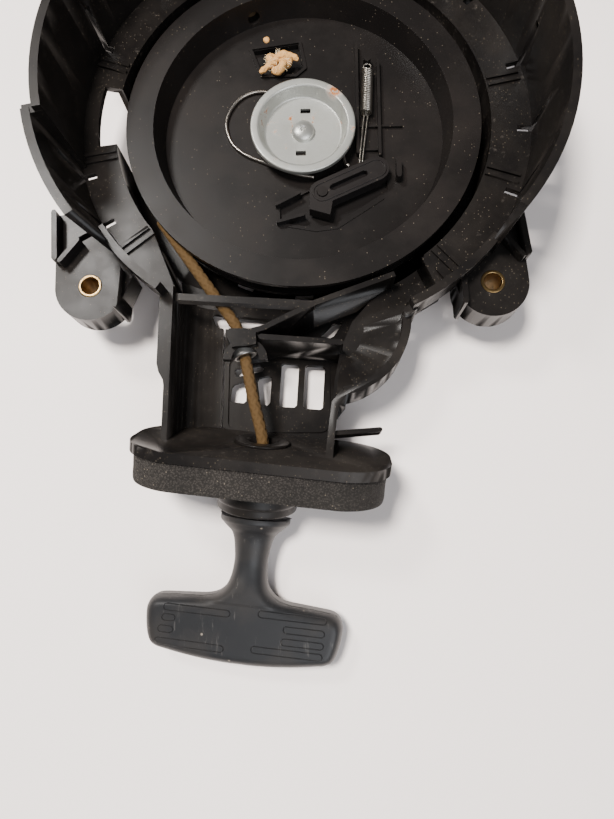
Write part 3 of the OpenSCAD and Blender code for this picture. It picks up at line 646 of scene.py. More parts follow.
    @staticmethod
    def scratch(tree: Tree, given: object) -> bpy.types.NodeSocket:
        """Thin lines: a noise squeezed along one direction."""
        squeeze = tree.add("CombineXYZ", {"X": 1.0, "Y": given["Stretch"], "Z": 1.0}).outputs[0]
        place = tree.vector("MULTIPLY", given["Vector"], squeeze).outputs[0]
        return tree.ramp(tree.noise(place, given["Scale"], 3.0, 0.7), 0.62, 0.7)

    @staticmethod
    def pill(tree: Tree, given: object) -> bpy.types.NodeSocket:
        """A stadium's outline: 1 where the distance to the segment is the half width, within a line."""
        span = tree.vector("SUBTRACT", given["End"], given["Start"]).outputs[0]
        away = tree.vector("SUBTRACT", given["Vector"], given["Start"]).outputs[0]
        dots = [tree.vector("DOT_PRODUCT", v, span).outputs["Value"] for v in (away, span)]
        share = tree.math("DIVIDE", *dots, True)
        nearest = tree.add("VectorMath", {0: span, "Scale": share}, operation="SCALE").outputs[0]
        rest = tree.vector("SUBTRACT", away, nearest).outputs[0]
        far = tree.vector("LENGTH", rest).outputs["Value"]
        off = tree.math("ABSOLUTE", tree.math("SUBTRACT", far, given["Half Width"]))
        return tree.math("SUBTRACT", 1.0, tree.math("DIVIDE", off, given["Line"]), True)


EFFECTS = Effects()


@dataclass(frozen=True)
class Finish:
    """What every finish has: a name and the record's slot that it stands for."""

    name: str
    slot: str

    def start(self) -> tuple[bpy.types.Material, Tree, bpy.types.NodeSocket]:
        """An empty material, its tree and the Object coordinates."""
        material = bpy.data.materials.new(self.name)
        material.use_nodes = True
        material.node_tree.nodes.clear()
        tree = Tree(material.node_tree)
        return material, tree, tree.add("TexCoord").outputs["Object"]

    @staticmethod
    def mark(tree: Tree) -> bpy.types.NodeSocket:
        """The mesh's own mark: convex edges, lightened as wear and as a painted highlight, or the height of
        a braid, whose gaps get painted shade.
        """
        return tree.add("Attribute", attribute_name="mark").outputs["Fac"]

    @staticmethod
    def close(tree: Tree, sockets: dict) -> None:
        """Puts in the surface shader with its sockets and the output."""
        shader = tree.add("BsdfPrincipled", sockets)
        tree.add("OutputMaterial", {"Surface": shader.outputs[0]})

    @staticmethod
    def bump(
        tree: Tree, height: bpy.types.NodeSocket, depth: float, under: object = None
    ) -> bpy.types.NodeSocket:
        """A normal that is raised by the height, depth in millimetres, on the normal under it."""
        inputs = {"Height": height, "Strength": 1.0, "Distance": depth * MM}
        if under is not None:
            inputs["Normal"] = under
        return tree.add("Bump", inputs).outputs[0]

    def dress(self, piece: bpy.types.Object) -> None:
        """Gives the piece this finish."""
        material = bpy.data.materials.get(self.name) or self.build()
        piece.data.materials.clear()
        piece.data.materials.append(material)

    def build(self) -> bpy.types.Material:
        """The material itself, made by each kind of finish."""
        raise NotImplementedError


# Lighter grey for convex edges: partly wear, partly a painted highlight where light would glint on them.
WORN_EDGE_AND_HIGHLIGHT_GREY = (0.075, 0.066, 0.058)
BROWN_DUST = (0.17, 0.14, 0.105)
PALE_DUST = (0.30, 0.26, 0.21)
FOAM_DUST = (0.20, 0.17, 0.13)
RUBBED_GRIP = (0.034, 0.029, 0.025)
SCRATCH_GREY = (0.2, 0.19, 0.18)
# Near black for the grip's grooves: painted shade in the recesses.
GROOVE_SHADE_BLACK = (0.003, 0.003, 0.003)
DARK_RUST = (0.10, 0.030, 0.010)
BRIGHT_RUST = (0.36, 0.13, 0.035)
FOAM_WALL = (0.030, 0.027, 0.025)
FOAM_WORN = (0.056, 0.050, 0.045)
# Near black for foam pores: painted shade inside the open cells.
PORE_SHADE_BLACK = (0.006, 0.006, 0.006)


@dataclass(frozen=True)
class MouldedPlastic(Finish):
    """Glass-filled or smooth black plastic with grain, dust, smudges and edges lightened partly as wear,
    partly as a painted highlight.
    """

    color: Color = (0.0052, 0.0046, 0.0045)
    dusty: Color = (0.034, 0.028, 0.023)
    rough: float = 0.30
    grain: float = 0.012
    grain_scale: float = 2600.0
    dust: float = 0.34
    dust_scale: float = 1300.0
    wear_and_highlight: float = 0.5
    haze: float = 0.35

    def build(self) -> bpy.types.Material:
        """Dark base, a brownish haze, pale specks and grey edges that are partly wear, partly a painted
        highlight; smudges change the gloss.
        """
        material, tree, place = self.start()
        edge = self.mark(tree)
        grain = EFFECTS.place(tree, Effect.GRAIN, Vector=place, Scale=self.grain_scale)
        dust = EFFECTS.place(tree, Effect.DUST, Vector=place, Scale=self.dust_scale, Amount=self.dust)
        haze = EFFECTS.place(tree, Effect.SMUDGE, Vector=place, Scale=28.0, Low=0.42, High=0.78)
        wear_and_highlight = EFFECTS.place(tree, Effect.WEAR_AND_HIGHLIGHT, Vector=place, Edge=edge, Amount=self.wear_and_highlight)
        color = tree.tint(self.color, haze, self.haze, self.dusty)
        # Painted highlight: convex edges turn lighter grey, partly as wear, partly standing in for light
        # glinting on them.
        color = tree.tint(color, wear_and_highlight, 0.55, WORN_EDGE_AND_HIGHLIGHT_GREY)
        color = tree.tint(color, dust, 0.7, BROWN_DUST)
        rough = tree.math("ADD", tree.math("MULTIPLY", haze, 0.22), self.rough)
        rough = tree.math("ADD", rough, tree.math("MULTIPLY", dust, 0.3), True)
        normal = self.bump(tree, grain, self.grain)
        self.close(tree, {"Base Color": color, "Roughness": rough, "Normal": normal, "IOR": 1.38})
        return material


@dataclass(frozen=True)
class Outline:
    """One grooved pill on the handle's bar, from and to in the bar's plan, in millimetres."""

    start: tuple[float, float]
    end: tuple[float, float]


@dataclass(frozen=True)
class GripPlastic(Finish):
    """Satin dark grey grip with grooved pill outlines, rub marks and a few pale flecks."""

    color: Color = (0.0100, 0.0104, 0.0115)
    outlines: tuple[Outline, ...] = ()
    groove: float = 0.2
    pill_half: float = 1.15
    place: Place = Place()

    def build(self) -> bpy.types.Material:
        """The outlines lower the surface and darken it with painted shade; rubbed areas are browner and
        duller.
        """
        material, tree, place = self.start()
        flat = tree.vector("MULTIPLY", place, (1.0, 1.0, 0.0)).outputs[0]
        grooves = None
        for outline in self.outlines:
            ends = [self.place.point(x, 0.0, z) * MM for x, z in (outline.start, outline.end)]
            start, end = (tuple(float(c) for c in (*e[:2], 0.0)) for e in ends)
            sizes = {"Half_Width": self.pill_half * MM, "Line": self.groove * MM}
            one = EFFECTS.place(tree, Effect.PILL, Vector=flat, Start=start, End=end, **sizes)
            grooves = one if grooves is None else tree.math("MAXIMUM", grooves, one)
        height = tree.add("SeparateXYZ", {0: tree.add("NewGeometry").outputs["Normal"]}).outputs["Z"]
        grooves = tree.math("MULTIPLY", grooves, tree.ramp(height, 0.6, 0.85))
        grain = EFFECTS.place(tree, Effect.GRAIN, Vector=place, Scale=3200.0, Coarse=0.2)
        haze = EFFECTS.place(tree, Effect.SMUDGE, Vector=place, Scale=60.0, Low=0.45, High=0.8)
        dust = EFFECTS.place(tree, Effect.DUST, Vector=place, Scale=420.0, Amount=0.10)
        lines = EFFECTS.place(tree, Effect.SCRATCH, Vector=place, Scale=700.0, Stretch=0.12)
        color = tree.tint(self.color, haze, 0.5, RUBBED_GRIP)
        # Painted shade: the grooves are darkened as if shade lay in them.
        color = tree.tint(color, grooves, 0.5, GROOVE_SHADE_BLACK)
        color = tree.tint(color, dust, 0.5, PALE_DUST)
        color = tree.tint(color, lines, 0.12, SCRATCH_GREY)
        rough = tree.math("ADD", tree.math("MULTIPLY", haze, 0.15), 0.46)
        cut = self.bump(tree, tree.math("SUBTRACT", 1.0, grooves), self.groove)
        normal = self.bump(tree, grain, 0.012, cut)
        self.close(tree, {"Base Color": color, "Roughness": rough, "Normal": normal, "IOR": 1.48})
        return material


@dataclass(frozen=True)
class Metal(Finish):
    """Bare or plated metal with smudges, fine scratches and rust."""

    color: Color = (0.62, 0.62, 0.60)
    shaded: Color = (0.42, 0.41, 0.38)
    rough: float = 0.32
    metallic: float = 1.0
    rust: float = 0.0
    rust_scale: float = 260.0
    patch: tuple[float, float, float] | None = None
    patch_size: float = 3.0

    def build(self) -> bpy.types.Material:
        """Clouded metal; rust is rough, brown and not metallic, and gathers round one spot."""
        material, tree, place = self.start()
        cloud = EFFECTS.place(tree, Effect.SMUDGE, Vector=place, Scale=120.0, Low=0.35, High=0.75)
        grain = EFFECTS.place(tree, Effect.GRAIN, Vector=place, Scale=3000.0)
        lines = EFFECTS.place(tree, Effect.SCRATCH, Vector=place)
        color = tree.mix(cloud, self.color, self.shaded)
        rough = tree.math("ADD", tree.math("MULTIPLY", cloud, 0.14), self.rough)
        rough = tree.math("ADD", rough, tree.math("MULTIPLY", lines, 0.08))
        metallic: object = self.metallic
        if self.rust > 0:
            rust = EFFECTS.place(tree, Effect.RUST, Vector=place, Scale=self.rust_scale, Amount=self.rust)
            if self.patch is not None:
                size = self.patch_size * MM
                away = tree.vector("DISTANCE", place, tuple(c * MM for c in self.patch)).outputs["Value"]
                near = tree.math("SUBTRACT", 1.0, tree.ramp(away, 0.3 * size, size))
                ragged = tree.ramp(tree.noise(place, 900.0, 5.0, 0.7), 0.38, 0.52)
                rust = tree.math("MAXIMUM", rust, tree.math("MULTIPLY", near, ragged), True)
            tone = tree.mix(tree.noise(place, 1500.0), DARK_RUST, BRIGHT_RUST)
            color = tree.mix(rust, color, tone)
            rough = tree.math("ADD", rough, tree.math("MULTIPLY", rust, 0.45), True)
            metallic = tree.math("MULTIPLY", tree.math("SUBTRACT", 1.0, rust), self.metallic)
        normal = self.bump(tree, grain, 0.006)
        self.close(tree, {"Base Color": color, "Roughness": rough, "Metallic": metallic, "Normal": normal})
        return material


@dataclass(frozen=True)
class Foam(Finish):
    """Dark open-cell foam, greyed by dust."""

    def build(self) -> bpy.types.Material:
        """Cell walls catch the light; the pores between them get painted shade, nearly black."""
        material, tree, place = self.start()
        pores = EFFECTS.place(tree, Effect.PORES, Vector=place, Scale=1500.0)
        cloud = EFFECTS.place(tree, Effect.SMUDGE, Vector=place, Scale=60.0, Low=0.35, High=0.75)
        dust = EFFECTS.place(tree, Effect.DUST, Vector=place, Scale=900.0, Amount=0.35)
        # Painted shade: the pores are darkened nearly to black.
        color = tree.tint(tree.mix(cloud, FOAM_WALL, FOAM_WORN), pores, 0.75, PORE_SHADE_BLACK)
        color = tree.tint(color, dust, 0.6, FOAM_DUST)
        normal = self.bump(tree, tree.math("SUBTRACT", 1.0, pores), 0.22)
        self.close(tree, {"Base Color": color, "Roughness": 0.9, "Normal": normal, "IOR": 1.3})
        return material


# Knot colours: ridge, gap and pale yarn; the gap colour is painted shade between the strands.
KNOT_TONES_AND_GAP_SHADE = ((0.84, 0.74, 0.54), (0.46, 0.25, 0.09), (0.94, 0.90, 0.78))  # ridge, gap and pale yarn


@dataclass(frozen=True)
class Braid(Finish):
    """Braided fibre: bright ridges, gaps darkened with painted shade and fine yarn lines along the UVs."""

    ridge: Color = (0.38, 0.265, 0.105)
    # The gap colour is painted shade between the strands, and also tints the random stains.
    gap: Color = (0.055, 0.032, 0.012)
    pale: Color = (0.60, 0.475, 0.26)
    yarn: float = 0.06

    def build(self) -> bpy.types.Material:
        """Colour follows the relief, darkest in the gaps as painted shade, broken by noise; yarn lines run
        at a slant to the rope.
        """
        material, tree, place = self.start()
        uv = tree.add("TexCoord").outputs["UV"]
        slant = tree.add("Mapping", {"Vector": uv, "Scale": (3.0, 30.0, 1.0), "Rotation": (0, 0, 0.12)})
        fibres = tree.noise(slant.outputs[0], 2.4, 3.0, 0.7)
        lift = tree.ramp(self.mark(tree), -0.75, -0.05)
        # Painted shade: colour runs from the dark gap colour in the braid's hollows to the ridge colour on
        # its tops.
        base = tree.mix(lift, self.gap, self.ridge)
        light = tree.math("MULTIPLY", tree.ramp(fibres, 0.5, 0.72), tree.math("MULTIPLY", lift, 0.55))
        color = tree.mix(light, base, self.pale)
        stain = EFFECTS.place(tree, Effect.SMUDGE, Vector=place, Scale=150.0, Low=0.42, High=0.7)
        # The stains lie at random and are real dirt, tinted with the gap's shade colour.
        color = tree.tint(color, stain, 0.45, self.gap)
        normal = self.bump(tree, fibres, self.yarn)
        self.close(tree, {"Base Color": color, "Roughness": 0.82, "Normal": normal})
        return material


@dataclass(frozen=True)
class Paper(Finish):
    """The pale table under the object."""

    def build(self) -> bpy.types.Material:
        """Nearly plain, with a very faint cloud."""
        material, tree, place = self.start()
        cloud = EFFECTS.place(tree, Effect.SMUDGE, Vector=place, Scale=4.0, Low=0.3, High=0.7)
        color = tree.mix(cloud, (0.86, 0.80, 0.785), (0.82, 0.76, 0.74))
        self.close(tree, {"Base Color": color, "Roughness": 0.7})
        return material


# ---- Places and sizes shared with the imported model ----


@dataclass(frozen=True)
class Layout:
    """Key places of the starter."""

    groove_floor_r: float = 59.5
    groove_z: float = -7.25
    rope_r: float = 2.25
    neck_turn: float = 6.3
    plate_lean: float = 21.0
    handle_slope: float = 7.5
    exit_p: tuple[float, float, float] = (-14.5, -124.0338, -8.0)
    plate_t: float = 3.5
    gasket_t: float = 10.0
    collar_front: float = 23.5
    mouth_gap: float = 3.3
    ear_x: tuple[float, float] = (-77.5, 68.5)
    ear_y: float = 67.0
    guide_in: tuple[float, float] = (-25.3, -79.5)
    guide_out: tuple[float, float] = (-21.5, -91.0)
    guide_z: float = -7.5

    def exit(self) -> Place:
        """The rope's exit: +Z out through the end plate, +Y up the plate."""
        return Place(self.exit_p, -self.neck_turn, 90 + self.plate_lean)

    def handle(self) -> Place:
        """The handle: +Z from its mouth outwards."""
        mouth = self.exit().point(0, 0, self.collar_front + self.mouth_gap)
        return Place(tuple(mouth), -self.neck_turn, 90 + self.handle_slope)

    def guide(self) -> Place:
        """The guide block's bore: +Z along the rope."""
        run = np.subtract(self.guide_out, self.guide_in)
        turn = math.degrees(math.atan2(run[1], run[0]))
        return Place((*self.guide_in, self.guide_z), turn + 90, 90)


LAYOUT = Layout()


# ---- Sub-assemblies ----


def stands_for(piece: bpy.types.Object, finish: Finish, body: str, node: str) -> bpy.types.Object:
    """Dresses a piece that rides on a body and replaces one CAD node."""
    finish.dress(piece)
    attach(piece, body)
    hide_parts(node)
    return piece


def ring_of(place: Place, section: list, radius: float, segments: int, steps: int = 4) -> Patch:
    """A closed section with rounded corners, turned round a place's axis."""
    return place(lathe(rounded(section, radius, True, steps), segments, True))


def trefoil(t: Array, size: tuple[float, float, float]) -> Array:
    """The trefoil (sin t + 2 sin 2t, cos t - 2 cos 2t, -sin 3t), stretched along each axis."""
    knot = [np.sin(t) + 2 * np.sin(2 * t), np.cos(t) - 2 * np.cos(2 * t), -np.sin(3 * t)]
    return np.stack(knot, 1) * np.array(size)


@dataclass
class Housing:
    """The black moulding with its sleeves, eyelet, ferrule, collar and foam seal."""

    edge: float = 0.45
    sleeve_bore: float = 3.15
    sleeve_wall: float = 1.2
    sleeve_len: float = 18.0
    sleeve_proud: float = 0.3
    collar_r: float = 15.0
    collar_step: float = 0.5
    collar_step_len: float = 3.0
    eyelet_r: float = 5.5
    eyelet_wall: float = 1.5
    eyelet_lip: float = 10.0
    eyelet_lip_t: float = 1.2
    ferrule_r: float = 4.4
    ferrule_bore: float = 2.9
    ferrule_span: tuple[float, float] = (4.0, 13.5)
    plate_w: float = 90.0
    plate_h: float = 44.0
    plate_corner: float = 18.0
    plate_shift: tuple[float, float] = (0.8, 4.5)
    inset: float = 1.0
    hole_gap: float = 0.2
    plastic: MouldedPlastic = MouldedPlastic("housing_plastic", "black_plastic")
    brass: Metal = Metal("sleeve_brass", "brass", (0.50, 0.34, 0.15), (0.28, 0.17, 0.07), 0.3)
    steel: Metal = Metal("ferrule_steel", "zinc_steel", (0.55, 0.54, 0.52), (0.33, 0.32, 0.30), 0.35)
    smooth: MouldedPlastic = MouldedPlastic(
        "collar_black", "collar_plastic", rough=0.36, grain=0.008, dust=0.12, haze=0.25, wear_and_highlight=0.4
    )
    glossy: MouldedPlastic = MouldedPlastic(
        "eyelet_black", "eyelet_plastic", rough=0.25, grain=0.004, dust=0.05, haze=0.12, wear_and_highlight=0.2
    )
    foam: Foam = Foam("gasket_foam", "foam")

    def body(self) -> bpy.types.Object:
        """The moulding itself, with rounded edges that are lightened partly as wear, partly as a painted
        highlight.
        """
        return stands_for(softened("housing_body", "housing", self.edge), self.plastic, "housing", "housing")

    def fit(self, node: str, patch: Patch, finish: Finish, sharp: float) -> bpy.types.Object:
        """A new piece on the housing that stands for one node."""
        return stands_for(made(node + "_detail", [patch], sharp), finish, "housing", node)

    def sleeve(self, node: str, x: float, y: float) -> bpy.types.Object:
        """One brass sleeve: a ring with rolled lips."""
        r, outer = self.sleeve_bore, self.sleeve_bore + self.sleeve_wall
        bottom, top = -self.sleeve_len, self.sleeve_proud
        section = [[r, bottom], [outer, bottom], [outer, top], [r, top]]
        return self.fit(node, ring_of(Place((x, y, 0.0)), section, 0.35, 72), self.brass, 40)

    def collar(self) -> bpy.types.Object:
        """The bushing round the rope's exit, through the foam and proud of it, stepped near its front."""
        back, front, r = LAYOUT.plate_t, LAYOUT.collar_front, self.collar_r
        bore, small, step = self.eyelet_r + 0.02, r - self.collar_step, front - self.collar_step_len
        section = [[bore, back], [r, back], [r, step - 0.4], [small, step], [small, front], [bore, front]]
        return self.fit("rope_collar", ring_of(LAYOUT.exit(), section, 0.7, 96), self.smooth, 45)

    def eyelet(self) -> bpy.types.Object:
        """A flared liner: its lip lies on the plate's inner face."""
        r, bore, front = self.eyelet_r, self.eyelet_r - self.eyelet_wall, LAYOUT.collar_front
        lip, low = self.eyelet_lip, -self.eyelet_lip_t
        flare = [[bore + 1.4, low], [lip, low], [lip, 0.0], [r, 0.0]]
        section = flare + [[r, front], [bore, front], [bore, 0.6]]
        return self.fit("rope_eyelet", ring_of(LAYOUT.exit(), section, 0.8, 80, 6), self.glossy, 45)

    def ferrule(self) -> bpy.types.Object:
        """The steel tube in the guide block."""
        (low, high), r, bore = self.ferrule_span, self.ferrule_r, self.ferrule_bore
        section = [[bore, low], [r, low], [r, high], [bore, high]]
        return self.fit("guide_ferrule", ring_of(LAYOUT.guide(), section, 0.5, 64), self.steel, 45)

    def outline(self, count: int) -> tuple[Array, Array]:
        """The plate's outline shrunk by the inset, at even angles.

        The ray from the middle at angle a meets the rounded rectangle where its distance function is 0; the
        radius is found by halving the interval 40 times for all rays at once.

        Args:
            count: Points round the outline.

        Returns:
            Directions and radii.
        """
        a = np.linspace(0, 2 * np.pi, count, endpoint=False)
        ray = np.stack([np.cos(a), np.sin(a)], 1)
        half = np.array([self.plate_w, self.plate_h]) / 2 - self.inset
        corner = self.plate_corner - self.inset
        low, high = np.zeros(count), np.full(count, self.plate_w)
        for _ in range(40):
            middle = (low + high) / 2
            q = np.abs(ray * middle[:, None]) - half + corner
            far = np.linalg.norm(np.maximum(q, 0), axis=1) + np.minimum(q.max(1), 0) - corner
            low, high = np.where(far < 0, middle, low), np.where(far < 0, high, middle)
        return ray, low

    def gasket(self) -> bpy.types.Object:
        """The foam seal: the outline and the hole joined by a soft section, with a low wobble on its faces.

        The section goes up the outer side, bulging by a half sine, in along the front, down the hole and
        back. The wobble is the sum of three sines of the angle.
        """
        count, steps = 480, 14
        ray, reach = self.outline(count)
        low, high = LAYOUT.plate_t + 0.02, LAYOUT.plate_t + LAYOUT.gasket_t
        t = np.linspace(0, 1, steps)
        side = 1 - 0.018 * np.abs(2 * t - 1) ** 4 - 0.012 * np.sin(np.pi * t)
        inwards = np.linspace(0.97, 0.03, steps)
        share = np.concatenate([side, inwards, np.zeros(3), inwards[::-1]])
        up, down = low + (high - low) * t, np.linspace(high, low, 3)
        height = np.concatenate([up, np.full(steps, high), down, np.full(steps, low)])
        hole = (self.collar_r + self.hole_gap) * ray
        outer = ray * reach[:, None] + np.array(self.plate_shift)
        flat = hole[None] + (outer - hole)[None] * share[:, None, None]
        angle = np.linspace(0, 2 * np.pi, count, endpoint=False)
        waves = ((0.16, 9, 1.1), (0.12, 23, 0.0), (0.07, 57, 0.4))
        wobble = sum(size * np.sin(times * angle + shift) for size, times, shift in waves)
        inward = np.clip((share[:, None] - 0.9) * 10, 0, 1) * (wobble[None] - 0.36) * 0.01
        flat = flat + (outer - hole)[None] * inward[..., None]
        points = np.concatenate([flat, np.broadcast_to(height[:, None, None], flat.shape[:2] + (1,))], -1)
        piece = self.fit("foam_gasket", LAYOUT.exit()(Patch(points, round_rows=True)), self.foam, 60)
        return piece

    def build(self) -> list[bpy.types.Object]:
        """All pieces of the housing."""
        pieces = [self.body()]
        for level, y in (("lower", -LAYOUT.ear_y), ("upper", LAYOUT.ear_y)):
            for side, x in zip(("left", "right"), LAYOUT.ear_x):
                pieces.append(self.sleeve(f"sleeve_{level}_{side}", x, y))
        return pieces + [self.collar(), self.eyelet(), self.ferrule(), self.gasket()]


@dataclass
class Pulley:
    """The rope pulley with its rope turns, its knot and the pawl's return spring."""

    edge: float = 0.4
    plastic: MouldedPlastic = MouldedPlastic(
        "pulley_black", "pulley_plastic", color=(0.0060, 0.0052, 0.0050), dusty=(0.026, 0.020, 0.017),
        rough=0.36, grain=0.005, grain_scale=2000.0, dust=0.16, dust_scale=1100.0, wear_and_highlight=0.35, haze=0.30,
    )
    rope: Braid = Braid("rope_braid", "rope")
    knot_rope: Braid = Braid("knot_braid", "rope", *KNOT_TONES_AND_GAP_SHADE, yarn=0.12)
    wire: Metal = Metal("coil_steel", "spring_wire", (0.60, 0.56, 0.50), (0.30, 0.27, 0.23), 0.3, rust=0.12)
    turn_plait: Plait = Plait(20, 5, 9.0, 0.35)
    knot_plait: Plait = Plait(24, 4, 6.5, 0.45)
    stub_plait: Plait = Plait(20, 3, 5.0, 0.3)
    turn_gap: float = 0.15
    knot_at: tuple[float, float, float] = (-9.9, 32.0, -8.2)
    knot_rope_r: float = 1.75
    knot_steps: float = 0.18
    stub_r: float = 1.5
    stub_at: tuple[float, float, float] = (-15.4, 44.9, -12.6)
    coil_low: tuple[float, float] = (25.0, 8.0)
    coil_top: tuple[float, float] = (25.8, 27.1)
    hook: tuple[float, float] = (22.6, -13.4)
    coil_r: float = 2.5
    coil_wire: float = 0.75
    coil_z: float = -8.1

    def body(self) -> bpy.types.Object:
        """The pulley itself, with rounded edges that are lightened partly as wear, partly as a painted
        highlight.
        """
        return stands_for(softened("pulley_body", "pulley", self.edge), self.plastic, "pulley", "pulley")

    def put(self, name: str, node: str, patches: list[Patch], finish: Finish) -> bpy.types.Object:
        """A new piece on the pulley that stands for one node."""
        return stands_for(made(name, patches, 60), finish, "pulley", node)

    def turns(self) -> bpy.types.Object:
        """The rope's turns in the groove: braided rings side by side."""
        patches = []
        u = np.linspace(0, 2 * np.pi, 420)
        radius = LAYOUT.groove_floor_r + LAYOUT.rope_r
        for side in (-1, 1):
            z = np.full(len(u), LAYOUT.groove_z + side * (LAYOUT.rope_r + self.turn_gap))
            path = np.stack([radius * np.cos(u), radius * np.sin(u), z], 1)
            patches.append(self.turn_plait.rope(path, LAYOUT.rope_r))
        return self.put("rope_turns", "rope_coil", patches, self.rope)

    def knot(self) -> bpy.types.Object:
        """The rope's knot in its pocket, with two short ends and the rope's end in its hole.

        The bight is an open trefoil. Its radius swells along it as a sine, and the short ends taper.
        """
        bight = trefoil(np.linspace(0.35, 2 * np.pi - 0.2, 150), (1.35, 1.25, 1.15))
        middle = np.array(self.knot_at)
        runs = [
            bight,
            np.array([[-1.0, 1.2, 0.0], [-3.4, -1.2, 0.3], [-5.6, -3.0, 0.2], [-7.4, -4.3, -0.2]]),
            np.array([[1.5, 1.8, 0.0], [4.0, 2.4, 0.6], [6.0, 1.9, 0.7], [7.6, 0.7, 0.4]]),
        ]
        patches = []
        for run in runs:
            path = curve_through(run + middle, self.knot_steps)
            radius = self.knot_rope_r + 0.22 * np.sin(np.linspace(0, 17, len(path)))
            if run is not bight:
                radius = radius * np.linspace(1.0, 0.62, len(path))
            patches.append(self.knot_plait.rope(path, radius))
        rise = np.array([[0.0, 0.0, 0.0], [0.0, 0.1, 1.0], [0.1, 0.2, 1.85]])
        stub = curve_through(rise + np.array(self.stub_at), 0.2)
        patches.append(self.stub_plait.rope(stub, self.stub_r))
        patches.extend(self.fibres(middle))
        return self.put("rope_knot", "rope_knot_pulley", patches, self.knot_rope)

    def fibres(self, middle: Array) -> list[Patch]:
        """Loose fibres round the knot: short bent hairs that start on its surface, seeded."""
        rng = np.random.default_rng(7)
        patches = []
        for _ in range(90):
            out = unit(rng.normal(size=3) * [1.0, 1.0, 0.6])
            out[2] = abs(out[2])
            start = middle + out * np.array([3.9, 3.6, 2.2])
            bend = start + out * 0.9 + rng.normal(size=3) * 0.35
            path = curve_through([start, bend, bend + out * 0.5 + rng.normal(size=3) * 0.6], 0.5)
            patches.append(tube(path, np.linspace(0.07, 0.03, len(path)), 4))
        return patches

    def spring(self) -> bpy.types.Object:
        """The return spring: a close helix with a hook at the top and two long legs to the pawl.

        The helix is centre plus radius times (cos a across plus sin a up), its centre moving evenly along.
        """
        low, top = np.array([*self.coil_low, self.coil_z]), np.array([*self.coil_top, self.coil_z])
        along = unit(top - low)
        across = unit(np.cross(along, [0.0, 0.0, 1.0]))
        up = np.cross(across, along)
        r = self.coil_r - self.coil_wire / 2
        n = int(np.linalg.norm(top - low) / (self.coil_wire * 1.04))
        a = np.linspace(0, 2 * np.pi * n, n * 26)
        s = np.linspace(0, 1, len(a))[:, None]
        helix = low + (top - low) * s + r * (np.cos(a)[:, None] * across + np.sin(a)[:, None] * up)
        wire = self.coil_wire / 2
        hook = np.array([*self.hook, self.coil_z])
        legs = []
        for side in (-1, 1):
            begin = low + across * side * 0.75 - up * 0.2
            end = hook + across * side * 0.55
            run = [begin + along * 0.6, begin - along * 0.8, (begin + end) / 2, end]
            legs.append(curve_through(run, 0.5))
        eye = np.linspace(np.pi, 2 * np.pi, 14)
        bend = hook + across * 0.55 * -np.cos(eye)[:, None] + along * 0.9 * np.sin(eye)[:, None]
        loop_a = np.linspace(-0.4 * np.pi, 1.35 * np.pi, 30)
        loop = top + along * (1.7 + 1.5 * np.sin(loop_a))[:, None] + across * 1.5 * np.cos(loop_a)[:, None]
        patches = [tube(helix, wire, 8)] + [tube(leg, wire, 10) for leg in legs]
        patches += [tube(bend, wire, 10), tube(loop, wire, 10)]
        return self.put("return_spring_coil", "return_spring", patches, self.wire)

    def build(self) -> list[bpy.types.Object]:
        """All pieces on the pulley."""
        return [self.body(), self.turns(), self.knot(), self.spring()]


